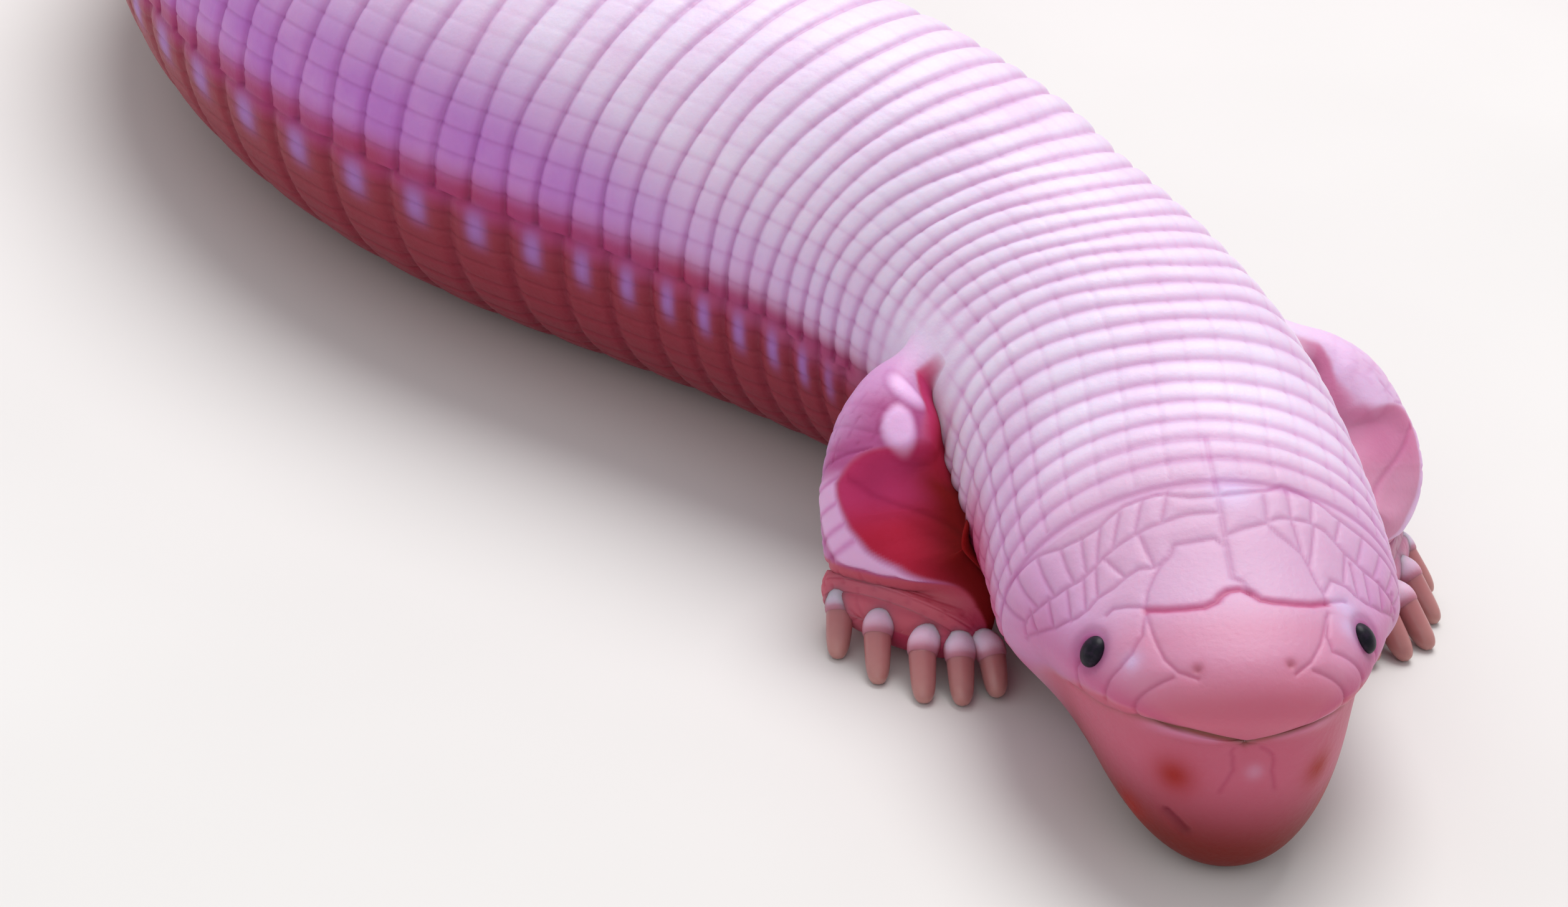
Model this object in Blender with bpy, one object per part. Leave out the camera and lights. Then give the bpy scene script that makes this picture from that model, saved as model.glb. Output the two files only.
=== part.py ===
"""Mexican mole lizard (Bipes biporus), a life-size still model.

A pink, ringed worm-lizard resting on its belly, with two short clawed forelimbs beside the
neck. It is worked out along the line of its body: s is the distance behind the widest part
of the head, v the distance to the animal's right and z the height over the floor.
Everything is in millimetres until the last step, which turns it into metres.
"""
import math

import bmesh
import bpy
import numpy as np
from mathutils import Matrix, Vector

# ---------------------------------------------------------------- driving dimensions, metres
BODY_LENGTH = 0.1940        # widest part of the head to the tip of the tail
NODE_GAP = 0.0003           # clear space between two lengths of the body
LIMB_GAP = 0.00024          # clear space between two lengths of a limb
RING_PITCH_FRONT = 0.0014   # one modelled ring is two rings of the animal here
RING_PITCH_REAR = 0.0021    # and three rings of the animal here
RING_DEPTH = 0.00012        # depth of the furrow between two rings
FOLD_DEPTH = 0.00026        # depth of the long fold on each flank
EYE_RADIUS = 0.00024
EYE_GAP = 0.00010
MOUTH_DEPTH = 0.00015       # depth of the line of the mouth
SUTURE_RADIUS = 0.00007     # the seams between the head shields
CLAW_GAP = 0.00008
UNDER_CHEEK = 0.20          # the head narrows by this part below the cheeks
HEAD_ROLL = 5.0             # degrees, the animal's left side is held a little higher
ROLL_AXIS = 0.0026          # height of the line that the head is rolled about

MM = 1000.0
GAP = NODE_GAP * MM
LIMB = LIMB_GAP * MM

# ---------------------------------------------------------------- line of the body
# heading of the tailward direction in degrees, against the distance s in millimetres
LINE_S = (0, 5, 10, 15, 20, 26, 34, 44, 56, 68, 80, 92, 104, 116, 128, 140, 152, 164, 176, 194)
LINE_H = (97, 119, 142, 151, 135, 113, 86, 50, 15, 0, 10, 45, 95, 140, 170, 178, 165, 135, 110, 95)
# half breadth, half height of the section along s
SECT_S = (-1, 1, 2.6, 4, 5.5, 7, 8.6, 12, 20, 60, 120, 155, 170, 180, 187, 191, 193, 193.7, 194)
SECT_W = (3.15, 3.22, 3.25, 3.21, 3.2, 3.28, 3.52, 3.83, 3.85, 3.95, 3.9, 3.65, 3.42, 3.28, 3.05,
          2.60, 1.95, 1.35, 0.7)
SECT_H = (2.52, 2.74, 3.00, 3.18, 3.3, 3.40, 3.62, 3.84, 3.84, 3.9, 3.85, 3.6, 3.38, 3.22, 2.98,
          2.50, 1.85, 1.28, 0.65)
SINK = 0.955                # the middle of the section lies this part of its half height up
# angles round the right half of the section, from the back down to the edge of the belly
RIGHT_ANGLES = (90, 70, 50, 31, 15, 3, -9, -31, -54, -76)
FOLD_ANGLE = 3
CUTS = (2.0, 4.1, 22, 42, 62, 82, 104, 126, 148, 170, BODY_LENGTH * MM)


def smooth(x, xs, ys):
    """Monotone cubic curve through the knots (xs, ys)."""
    x, xs, ys = (np.asarray(a, float) for a in (x, xs, ys))
    h = np.diff(xs)
    d = np.diff(ys) / h
    m = np.zeros(len(xs))
    w1, w2 = 2 * h[1:] + h[:-1], h[1:] + 2 * h[:-1]
    same = d[1:] * d[:-1] > 0
    m[1:-1] = np.where(same, (w1 + w2) / (w1 / np.where(same, d[:-1], 1)
                                          + w2 / np.where(same, d[1:], 1)), 0)
    m[0], m[-1] = d[0], d[-1]
    i = np.clip(np.searchsorted(xs, x) - 1, 0, len(h) - 1)
    t = (x - xs[i]) / h[i]
    return ((1 + 2 * t) * (1 - t) ** 2 * ys[i] + t * (1 - t) ** 2 * h[i] * m[i]
            + t * t * (3 - 2 * t) * ys[i + 1] + t * t * (t - 1) * h[i] * m[i + 1])


STEP = 0.1
line_s = np.arange(0, BODY_LENGTH * MM + STEP, STEP)
line_h = np.radians(smooth(line_s, LINE_S, LINE_H))
mid_h = (line_h[1:] + line_h[:-1]) / 2
line_x = np.concatenate([[0], np.cumsum(np.cos(mid_h)) * STEP])
line_y = np.concatenate([[0], np.cumsum(np.sin(mid_h)) * STEP])


def frame_at(s):
    """Point on the line of the body, forward direction, and the animal's right."""
    h = math.radians(LINE_H[0]) if s <= 0 else float(np.interp(s, line_s, line_h))
    forward = Vector((-math.cos(h), -math.sin(h), 0))
    right = Vector((forward.y, -forward.x, 0))
    if s <= 0:
        return Vector((0, 0, 0)) - forward * s, forward, right
    point = Vector((np.interp(s, line_s, line_x), np.interp(s, line_s, line_y), 0))
    return point, forward, right


def place(s, v, z):
    """Body measures (s, v, z) to a point in space; the head's slight roll is put in here."""
    roll = math.radians(HEAD_ROLL) * float(np.interp(s, (-0.5, 2.0), (1, 0)))
    up = z - ROLL_AXIS * MM
    v, up = v * math.cos(roll) + up * math.sin(roll), up * math.cos(roll) - v * math.sin(roll)
    z = up + ROLL_AXIS * MM
    point, forward, right = frame_at(s)
    return point + right * v + Vector((0, 0, max(z, 0)))


def eased(x, low, high):
    """0 at low and 1 at high, with a soft start and end."""
    x = min(max((x - low) / (high - low), 0), 1)
    return x * x * (3 - 2 * x)


def narrowed(angle, strength):
    """The head's section draws in below the cheeks; this is the factor on its breadth."""
    below = -angle if angle >= -90 else 180 + angle
    return 1 - UNDER_CHEEK * eased(below, 0, 40) * strength


def section(s, angles, furrow):
    """One row of points round the body at s, pushed in by the furrow."""
    under = 1 - eased(s, 0, 2)
    w = float(smooth(s, SECT_S, SECT_W))
    h = float(smooth(s, SECT_S, SECT_H))
    fold = FOLD_DEPTH * MM * float(np.interp(s, (3.0, 9.0, 165, 185), (0, 1, 1, 0.3)))
    row = []
    for a in angles:
        c, q = math.cos(math.radians(a)), math.sin(math.radians(a))
        near = abs((abs(a) if abs(a) <= 90 else 180 - abs(a)) - FOLD_ANGLE) < 0.1 and q > 0
        deep = furrow + (fold if near else 0)
        row.append(place(s, (w - deep) * c * narrowed(a, under), SINK * h + (h - deep) * q))
    return row


RING_ANGLES = list(RIGHT_ANGLES) + [-180 - a for a in RIGHT_ANGLES[::-1]][:-1]
RING_ANGLES = [a if a > -180 else a + 360 for a in RING_ANGLES]


def body_rows(start, end, pitch):
    """Rows of points from start to end: furrow, crest, furrow, crest, furrow."""
    n = max(1, round((end - start) / pitch))
    rows = []
    for k in range(2 * n + 1):
        s = start + (end - start) * k / (2 * n)
        rows.append(section(s, RING_ANGLES, RING_DEPTH * MM if k % 2 == 0 else 0.0))
    return rows


# ---------------------------------------------------------------- object helpers
for old in list(bpy.data.objects):
    bpy.data.objects.remove(old, do_unlink=True)


def material(name, colour, roughness):
    mat = bpy.data.materials.new(name)
    mat.use_nodes = True
    shader = mat.node_tree.nodes["Principled BSDF"]
    shader.inputs["Base Color"].default_value = (*colour, 1)
    shader.inputs["Roughness"].default_value = roughness
    return mat


def solid(name, verts, faces, colour, roughness=0.5):
    """One closed body with its own material, faces turned outward."""
    mesh = bpy.data.meshes.new(name)
    mesh.from_pydata([tuple(p) for p in verts], [], faces)
    bm = bmesh.new()
    bm.from_mesh(mesh)
    bmesh.ops.recalc_face_normals(bm, faces=bm.faces)
    bm.to_mesh(mesh)
    bm.free()
    obj = bpy.data.objects.new(name, mesh)
    bpy.context.collection.objects.link(obj)
    obj.data.materials.append(material(name + "_surface", colour, roughness))
    return obj


def tube(rows, first_point=None, last_point=None):
    """Skin over rows of equal length; an end is a point or a flat face."""
    n = len(rows[0])
    verts = [p for row in rows for p in row]
    faces = []
    for i in range(len(rows) - 1):
        for j in range(n):
            k = (j + 1) % n
            faces.append((i * n + j, i * n + k, (i + 1) * n + k, (i + 1) * n + j))
    last = (len(rows) - 1) * n
    if first_point is None:
        faces.append(tuple(range(n)))
    else:
        verts.append(first_point)
        faces += [(len(verts) - 1, j, (j + 1) % n) for j in range(n)]
    if last_point is None:
        faces.append(tuple(last + j for j in range(n)))
    else:
        verts.append(last_point)
        faces += [(len(verts) - 1, last + (j + 1) % n, last + j) for j in range(n)]
    return verts, faces


def combine(obj, cutters, operation):
    """Join the cutters to the body, or cut them out of it, and take them away."""
    for cutter in cutters:
        mod = obj.modifiers.new("cut", "BOOLEAN")
        mod.operation = operation
        mod.solver = "EXACT"
        mod.object = cutter
        depsgraph = bpy.context.evaluated_depsgraph_get()
        mesh = bpy.data.meshes.new_from_object(obj.evaluated_get(depsgraph))
        obj.modifiers.clear()
        old = obj.data
        obj.data = mesh
        bpy.data.meshes.remove(old)
        bpy.data.objects.remove(cutter, do_unlink=True)
    bm = bmesh.new()
    bm.from_mesh(obj.data)
    bmesh.ops.remove_doubles(bm, verts=bm.verts, dist=0.0001)
    bmesh.ops.triangulate(bm, faces=bm.faces)
    bm.to_mesh(obj.data)
    bm.free()


def ball(name, centre, radius, squash=None, rings=8, sides=12):
    """A faceted ball; squash is (direction, factor)."""
    rows = []
    for i in range(1, rings):
        a = math.pi * i / rings
        rows.append([Vector((math.sin(a) * math.cos(2 * math.pi * j / sides),
                             math.sin(a) * math.sin(2 * math.pi * j / sides), math.cos(a))) * radius
                     for j in range(sides)])
    verts, faces = tube(rows, Vector((0, 0, radius)), Vector((0, 0, -radius)))
    if squash:
        d = squash[0].normalized()
        verts = [p - d * p.dot(d) * (1 - squash[1]) for p in verts]
    return solid(name, [centre + p for p in verts], faces, (0.02, 0.02, 0.05))


def round_rod(name, points, radius, sides=6):
    """A thin rod along points, used to cut a seam."""
    rows = []
    for i, p in enumerate(points):
        d = (points[min(i + 1, len(points) - 1)] - points[max(i - 1, 0)]).normalized()
        a = d.cross(Vector((0, 0.3, 1))).normalized()
        b = d.cross(a)
        rows.append([p + a * radius * math.cos(2 * math.pi * j / sides)
                     + b * radius * math.sin(2 * math.pi * j / sides) for j in range(sides)])
    return solid(name, *tube(rows), (0.5, 0.5, 0.5))


# ---------------------------------------------------------------- head
# Four lines run back from the front of the mouth: the crown, the widest line of the cheek, the
# mouth and the throat. Each is given at ten stations, as distance forward (U), to the right
# (V) and up (Z).
CROWN_U = (5.00, 5.10, 5.20, 5.06, 4.70, 4.12, 3.40, 2.60, 1.70, 0.70)
CROWN_Z = (2.60, 2.80, 3.10, 3.45, 3.78, 4.00, 4.18, 4.38, 4.60, 4.84)
CHEEK_U = (5.00, 5.06, 4.98, 4.64, 4.12, 3.50, 2.85, 2.15, 1.40, 0.60)
CHEEK_V = (0.00, 0.43, 0.92, 1.40, 1.84, 2.20, 2.50, 2.76, 2.96, 3.12)
CHEEK_Z = (2.60, 2.71, 2.80, 2.86, 2.88, 2.90, 2.90, 2.88, 2.84, 2.78)
MOUTH_U = (5.00, 4.97, 4.80, 4.40, 3.86, 3.28, 2.70, 2.08, 1.38, 0.60)
MOUTH_V = (0.00, 0.47, 0.96, 1.42, 1.76, 2.04, 2.32, 2.60, 2.82, 2.95)
MOUTH_Z = (2.60, 2.59, 2.58, 2.53, 2.44, 2.32, 2.20, 2.11, 2.03, 1.92)
THROAT_U = (5.00, 4.97, 4.99, 4.95, 4.80, 4.49, 3.78, 2.80, 1.70, 0.70)
THROAT_Z = (2.60, 2.34, 1.92, 1.20, 0.50, 0.08, 0.00, 0.00, 0.00, 0.00)
MOUTH_ANGLE = 21            # the mouth lies this far below the widest line, in degrees of section
MOUTH_END = 5.0             # the mouth runs back to this station


def head_point(station, angle):
    """Point (u, v, z) of the right half of the head.

    The angle runs from 90 on the crown over 0 on the cheek to -90 on the throat."""
    row = [float(smooth(station, range(10), line)) for line in (
        CROWN_U, CROWN_Z, CHEEK_U, CHEEK_V, CHEEK_Z, MOUTH_U, MOUTH_V, MOUTH_Z, THROAT_U, THROAT_Z)]
    crown_u, crown_z, cheek_u, cheek_v, cheek_z, mouth_u, mouth_v, mouth_z, throat_u, throat_z = row
    if angle >= 0:
        c, q = math.cos(math.radians(angle)), math.sin(math.radians(angle))
        u = cheek_u + (crown_u - cheek_u) * q * q
        v, z = cheek_v * c, cheek_z + (crown_z - cheek_z) * q ** 1.12
    elif angle >= -MOUTH_ANGLE:
        q = -angle / MOUTH_ANGLE
        u = cheek_u + (mouth_u - cheek_u) * q
        v, z = cheek_v + (mouth_v - cheek_v) * q * q, cheek_z + (mouth_z - cheek_z) * q
    else:
        a = math.radians(-angle - MOUTH_ANGLE) * 90 / (90 - MOUTH_ANGLE)
        c, q = math.cos(a), math.sin(a)
        u = mouth_u + (throat_u - mouth_u) * q * q
        v, z = mouth_v * c ** 0.95, mouth_z + (throat_z - mouth_z) * q ** 0.95
    # the last stations run over into the plain section of the neck
    blend = eased(station, 6.5, 9)
    w = float(smooth(-cheek_u, SECT_S, SECT_W))
    h = float(smooth(-cheek_u, SECT_S, SECT_H))
    plain_v = w * math.cos(math.radians(angle))
    plain_z = max(0.0, SINK * h + h * math.sin(math.radians(angle)))
    v = (v + (plain_v - v) * blend) * narrowed(angle, eased(station, 3.5, 8))
    return u + (cheek_u - u) * blend, v, z + (plain_z - z) * blend


HEAD_ANGLES = (90, 77, 64, 51, 38, 25, 12, 0, -14, -21, -28, -40, -51, -62, -74, -90)
STATIONS = (.5, 1, 1.5, 2, 2.5, 3, 3.5, 4, 4.5, 5, 5.5, 6, 6.5, 7, 7.5, 8, 8.5, 9)
rows = []
for station in STATIONS:
    right, left = [], []
    for angle in HEAD_ANGLES:
        u, v, z = head_point(station, angle)
        if angle == -MOUTH_ANGLE and station <= MOUTH_END + 0.5:
            deep = MOUTH_DEPTH * MM * min(1.0, station, MOUTH_END + 1 - station)
            length = math.hypot(u - 2.0, v)
            u, v = u - deep * (u - 2.0) / length, v - deep * v / length
        right.append(place(-u, v, z))
        left.append(place(-u, -v, z))
    rows.append(right + left[-2:0:-1])
for s in (0.2, 1.0, CUTS[0] - GAP / 2):
    row = section(s, HEAD_ANGLES + tuple(-180 - a for a in HEAD_ANGLES[-2:0:-1]), 0.0)
    rows.append(row)
verts, faces = tube(rows, first_point=place(-MOUTH_U[0] + MOUTH_DEPTH * MM, 0, MOUTH_Z[0]))
head = solid("head", verts, faces, (0.78, 0.42, 0.46))


def seam(points):
    """Cutter for a seam between head shields; points are (station, angle, side)."""
    out = []
    for station, angle, side in points:
        u, v, z = head_point(station, angle)
        out.append(place(-u, side * v, z))
    return round_rod("seam", out, SUTURE_RADIUS * MM)


# the seam behind the snout shield, the seam along the crown, and the two beside the snout
seams = [seam([(6.2, 90, 1), (6.9, 90, 1), (7.7, 90, 1)])]
for side in (1, -1):
    seams.append(seam([(6.25, 90, 1), (6.10, 78, side), (6.0, 67, side), (5.9, 57, side)]))
    seams.append(seam([(5.75, 52, side), (5.2, 46, side), (4.7, 38, side)]))
combine(head, seams, "DIFFERENCE")

# nostrils, two small pits at the front of the snout, and the eye sockets
holes = []
for side in (1, -1):
    u, v, z = head_point(4.0, 68)
    holes.append(ball("nostril", place(-u, side * v, z), 0.12, rings=5, sides=7))
for side, name in ((1, "eye_right"), (-1, "eye_left")):
    u, v, z = head_point(5.3, 26)
    outward = (place(-u, side * (v + 1), z + 0.7) - place(-u, side * v, z)).normalized()
    centre = place(-u, side * v, z) - outward * 0.08
    holes.append(ball("socket", centre, (EYE_RADIUS + EYE_GAP) * MM, rings=7, sides=12))
    ball(name, centre, EYE_RADIUS * MM, rings=8, sides=14)
combine(head, holes, "DIFFERENCE")

# ---------------------------------------------------------------- neck, trunk and tail
names = ["neck"] + ["torso_%d" % (k + 1) for k in range(8)] + ["tail"]
for k, name in enumerate(names):
    start = CUTS[k] + GAP / 2
    if name == "tail":
        rows = body_rows(start, 187, RING_PITCH_REAR * MM)
        rows += [section(s, RING_ANGLES, 0.0) for s in (189, 191, 192.3, 193.2, 193.7)]
        solid(name, *tube(rows, last_point=place(194, 0, SINK * 0.65)), (0.80, 0.50, 0.60))
    else:
        pitch = RING_PITCH_FRONT if CUTS[k] < 40 else RING_PITCH_REAR
        rows = body_rows(start, CUTS[k + 1] - GAP / 2, pitch * MM)
        solid(name, *tube(rows), (0.80, 0.50, 0.60))

# ---------------------------------------------------------------- forelimbs
# middle of the limb as (s, v, z), half breadth, half thickness; the breadth lies across
ARM = (((5.08, 3.58, 3.54), .60, .54), ((4.95, 3.70, 3.42), .74, .66),
       ((4.50, 3.84, 3.10), .88, .80), ((3.90, 4.12, 2.55), .98, .82),
       ((3.25, 4.21, 2.02), 1.05, .76), ((2.80, 4.14, 1.58), 1.06, .62))
ARM_CUT = 3                 # the elbow is at this point of the list
HAND = (2.28, 3.95)         # s and v of the middle of the palm
MIRROR_AT = 2.8             # the left limb mirrors the right one about the body's middle here
LEFT_SWING = 9              # degrees, and is swung out by this about its shoulder
# rows of the palm: distance forward, height, half breadth, half thickness
PALM = ((-.32, 1.00, 1.08, .48), (-.12, .78, 1.14, .56), (.14, .60, 1.26, .58), (.40, .58, 1.28, .40))
# digits from the outermost: place across the palm, forward, outward slant, length of the claw
DIGITS = ((-.98, .34, .20, .86), (-.16, .60, .14, .92), (.68, .66, .12, .92),
          (1.24, .44, .10, .80), (1.62, .10, .0, .60))
DIGIT_RADIUS = 0.26
CLAW_RADIUS = 0.22
SIDES = 12


def limb_rows(points, across, sides=SIDES, cut=None):
    """Rounded rows along a limb; across gives the direction of the breadth of each.

    The rows cut and cut + 1 lie face to face across a joint."""
    out = []
    for i, (p, breadth, thick) in enumerate(points):
        first, last = (cut - 1, cut + 2) if cut in (i, i - 1) else (i - 1, i + 1)
        d = (points[min(last, len(points) - 1)][0] - points[max(first, 0)][0]).normalized()
        a = (across[i] - d * across[i].dot(d)).normalized()
        b = d.cross(a)
        ring = []
        for j in range(sides):
            t = 2 * math.pi * j / sides
            q = p + a * breadth * math.cos(t) + b * thick * math.sin(t)
            ring.append(Vector((q.x, q.y, max(q.z, 0))))
        out.append(ring)
    return out



DOWN = Vector((0, 0, -1))
point, _, mirror_right = frame_at(MIRROR_AT)


def limb_side(p, side):
    """A point of the right limb, or its mirror image for the left one."""
    if side == 1:
        return p
    root = place(*ARM[0][0])
    p, root = (q - mirror_right * 2 * (q - point).dot(mirror_right) for q in (p, root))
    return root + Matrix.Rotation(math.radians(LEFT_SWING), 3, "Z") @ (p - root)


_, forward, right = frame_at(2.0)
hand_across = (forward * .68 - right * .73).normalized()
hand_forward = (forward * .73 + right * .68).normalized()
arm_across = (frame_at(5.0)[1] * 0.75 + DOWN * 0.65).normalized()
path = [(place(*p), b, t) for p, b, t in ARM]
axis = (path[ARM_CUT + 1][0] - path[ARM_CUT - 1][0]).normalized()
elbow, b, t = path[ARM_CUT]
path[ARM_CUT:ARM_CUT + 1] = [(elbow - axis * LIMB / 2, b, t), (elbow + axis * LIMB / 2, b, t)]
turn = [arm_across.lerp(hand_across, t) for t in (0, 0, .15, .4, .4, .7, 1)]
arm_rows = limb_rows(path, turn, SIDES, ARM_CUT)
middle = place(HAND[0], HAND[1], 2.0)
middle.z = 0
palm = [(middle + hand_forward * t - DOWN * z, b, w) for t, z, b, w in PALM]
palm_rows = limb_rows(palm, [hand_across] * 4)

for side, word in ((1, "right"), (-1, "left")):
    rows = [[limb_side(p, side) for p in row] for row in arm_rows]
    solid("upper_arm_" + word, *tube(rows[:ARM_CUT + 1]), (0.82, 0.52, 0.62))
    solid("forearm_" + word, *tube(rows[ARM_CUT + 1:]), (0.80, 0.45, 0.55))
    rows = [[limb_side(p, side) for p in row] for row in palm_rows]
    hand = solid("hand_" + word, *tube(rows), (0.82, 0.50, 0.52))
    digits = []
    for k, (offset, front, slant, reach) in enumerate(DIGITS):
        d = (forward * .8 + right * slant + DOWN * .62).normalized()
        root = middle + hand_across * max(-.95, min(1.0, offset)) - DOWN * .68
        knuckle = middle + hand_across * offset + hand_forward * front - DOWN * .60
        tip = knuckle + d * .16
        across = [d.cross(DOWN)] * 3
        rows = limb_rows([(root, .23, .23), (knuckle, DIGIT_RADIUS, DIGIT_RADIUS),
                          (tip, .24, .23)], across, 8)
        rows = [[limb_side(p, side) for p in row] for row in rows]
        digits.append(solid("digit", *tube(rows), (0.82, 0.50, 0.52)))
        base = tip + d * CLAW_GAP * MM
        mid = base + d * reach * .45
        end = mid + (d + DOWN * .3).normalized() * reach * .5
        end.z, mid.z = max(end.z, .03), max(mid.z, .17)
        rows = limb_rows([(base, CLAW_RADIUS, CLAW_RADIUS), (mid, .19, .17)], across, 8)
        rows = [[limb_side(p, side) for p in row] for row in rows]
        solid("claw_%s_%d" % (word, k + 1), *tube(rows, last_point=limb_side(end, side)),
              (0.85, 0.62, 0.58), 0.3)
    combine(hand, digits, "UNION")

# ---------------------------------------------------------------- middle over the origin, metres
parts = [o for o in bpy.data.objects if o.type == "MESH"]
low = [min(v.co[i] for o in parts for v in o.data.vertices) for i in range(3)]
high = [max(v.co[i] for o in parts for v in o.data.vertices) for i in range(3)]
centre = Vector(((low[0] + high[0]) / 2, (low[1] + high[1]) / 2, 0))
for obj in parts:
    obj.data.transform(Matrix.Scale(1 / MM, 4) @ Matrix.Translation(-centre))
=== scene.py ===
import math

import bmesh
import bpy
import numpy as np
from mathutils import Matrix, Vector


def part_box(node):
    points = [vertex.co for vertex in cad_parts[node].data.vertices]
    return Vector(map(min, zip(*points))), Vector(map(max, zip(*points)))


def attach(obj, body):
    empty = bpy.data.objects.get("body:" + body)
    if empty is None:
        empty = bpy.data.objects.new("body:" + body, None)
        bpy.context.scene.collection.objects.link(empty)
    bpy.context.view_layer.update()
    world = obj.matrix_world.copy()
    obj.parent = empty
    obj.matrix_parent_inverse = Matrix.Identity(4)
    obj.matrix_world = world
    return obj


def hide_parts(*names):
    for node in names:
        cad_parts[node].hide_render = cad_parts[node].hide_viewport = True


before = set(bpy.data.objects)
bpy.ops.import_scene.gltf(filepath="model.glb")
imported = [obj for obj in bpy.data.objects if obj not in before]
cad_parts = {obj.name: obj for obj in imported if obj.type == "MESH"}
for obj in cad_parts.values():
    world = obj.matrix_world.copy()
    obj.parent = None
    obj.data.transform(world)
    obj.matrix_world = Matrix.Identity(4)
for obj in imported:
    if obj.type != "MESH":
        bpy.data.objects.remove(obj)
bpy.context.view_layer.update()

# The trunk and tail: a round body in narrow rings of skin, each ring parted into small
# rectangular scales, with one long fold down each flank. It is worked out along the line of the
# body in millimetres: s behind the widest part of the head, v to the animal's right, z up.
BODY_LENGTH, LINE_STEP = 194, 0.1
# the heading of that line in degrees, then half the width and half the height of the body
LINE_S = (0, 5, 10, 15, 20, 26, 34, 44, 56, 68, 80, 92, 104, 116, 128, 140, 152, 164, 176, 194)
LINE_H = (97, 119, 142, 151, 135, 113, 86, 50, 15, 0, 10, 45, 95, 140, 170, 178, 165, 135, 110, 95)
SECT_S = (-1, 1, 2.6, 4, 5.5, 7, 8.6, 12, 20, 60, 120, 155, 170, 180, 187, 191, 193, 193.7, 194)
SECT_W = (3.15, 3.22, 3.25, 3.21, 3.2, 3.28, 3.52, 3.83, 3.85, 3.95, 3.9, 3.65, 3.42, 3.28, 3.05,
          2.60, 1.95, 1.35, 0.7)
SECT_H = (2.52, 2.74, 3.00, 3.18, 3.3, 3.40, 3.62, 3.84, 3.84, 3.9, 3.85, 3.6, 3.38, 3.22, 2.98,
          2.50, 1.85, 1.28, 0.65)
# the body's middle stands at SINK of its half height, so that the belly lies flat on the floor; the
# head rolls a little about ROLL_AXIS, and is narrower at the throat than at the cheeks by a share
SINK = 0.955
HEAD_ROLL = math.radians(5.0)
ROLL_AXIS = 2.6
UNDER_CHEEK = 0.20
# distance from ring to ring along the back, and from one broader ring to the next under the fold
RING_S = (-1.2, 3, 6, 8.5, 9.5, 10.5, 12, 15, 18, 25, 40)
RING_PITCH = (0.45, 0.40, 0.47, 0.52, 0.57, 0.68, 0.74, 0.75, 0.72, 0.76, 0.80)
BELLY_S = (-1, 8, 9, 10.8, 12.6, 14.7, 17, 19, 20.5, 60)
BELLY_PITCH = (0.55, 0.72, 0.80, 0.86, 1.00, 1.08, 1.14, 1.30, 1.40, 1.35)
BELLY_FIRST = 6.35
# the rings run back down the sides: how far, for a ring that crosses the back at s
LEAN_S = (-0.6, 0, 2, 4, 6, 8, 10, 12, 14, 17, 20, 185, 192)
LEAN = (0, 0.1, 0.80, 1.40, 1.50, 1.35, 1.15, 0.95, 0.70, 0.40, 0.25, 0.25, 0)
RING_ROWS = (0, .06, .14, .24, .36, .5, .64, .76, .86, .94)
# rings behind FINE_END are drawn with half the columns, a scale of the trunk is PER_SCALE columns
# wide, and the edge of the mouth lies LIP_ANGLE degrees under the widest line of the head
FINE_END = 44.0
PER_SCALE = 8
LIP_ANGLE = 21


def smooth(x, xs, ys):
    """Monotone cubic curve through the knots (xs, ys)."""
    x, xs, ys = (np.asarray(a, float) for a in (x, xs, ys))
    h = np.diff(xs)
    d = np.diff(ys) / h
    m = np.zeros(len(xs))
    w1, w2 = 2 * h[1:] + h[:-1], h[1:] + 2 * h[:-1]
    same = d[1:] * d[:-1] > 0
    m[1:-1] = np.where(same, (w1 + w2) / (w1 / np.where(same, d[:-1], 1)
                                          + w2 / np.where(same, d[1:], 1)), 0)
    m[0], m[-1] = d[0], d[-1]
    i = np.clip(np.searchsorted(xs, x) - 1, 0, len(h) - 1)
    t = (x - xs[i]) / h[i]
    return ((1 + 2 * t) * (1 - t) ** 2 * ys[i] + t * (1 - t) ** 2 * h[i] * m[i]
            + t * t * (3 - 2 * t) * ys[i + 1] + t * t * (t - 1) * h[i] * m[i + 1])


line_s = np.arange(0, BODY_LENGTH + LINE_STEP, LINE_STEP)
line_h = np.radians(smooth(line_s, LINE_S, LINE_H))
step_h = (line_h[1:] + line_h[:-1]) / 2
line_x = np.concatenate([[0], np.cumsum(np.cos(step_h)) * LINE_STEP])
line_y = np.concatenate([[0], np.cumsum(np.sin(step_h)) * LINE_STEP])


def heading(s):
    """Forward direction and the animal's right at s, as flat vectors."""
    h = np.where(s <= 0, line_h[0], np.interp(s, line_s, line_h))
    forward = np.stack([-np.cos(h), -np.sin(h), 0 * h], -1)
    return forward, np.stack([forward[..., 1], -forward[..., 0], 0 * h], -1)


def place(s, v, z):
    """Body measures to points in space, with the slight roll of the head."""
    s, v, z = np.broadcast_arrays(*(np.asarray(a, float) for a in (s, v, z)))
    roll = HEAD_ROLL * np.interp(s, (-0.5, 2.0), (1, 0))
    up = z - ROLL_AXIS
    v, up = v * np.cos(roll) + up * np.sin(roll), up * np.cos(roll) - v * np.sin(roll)
    forward, right = heading(s)
    x = np.where(s <= 0, -forward[..., 0] * s, np.interp(s, line_s, line_x))
    y = np.where(s <= 0, -forward[..., 1] * s, np.interp(s, line_s, line_y))
    out = np.stack([x, y, 0 * x], -1) + right * v[..., None]
    out[..., 2] = np.maximum(up + ROLL_AXIS, 0)
    return out


def column_angles(per_scale):
    """Angles round the body: 10 belly scales, 4 flank scales and 13 back scales a side."""
    half = np.interp(np.arange(27 * per_scale + 1), np.array((0, 10, 14, 27)) * per_scale,
                     (-90, -LIP_ANGLE, 3, 90))
    return np.concatenate([half, 180 - half[-2:0:-1]])


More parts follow.
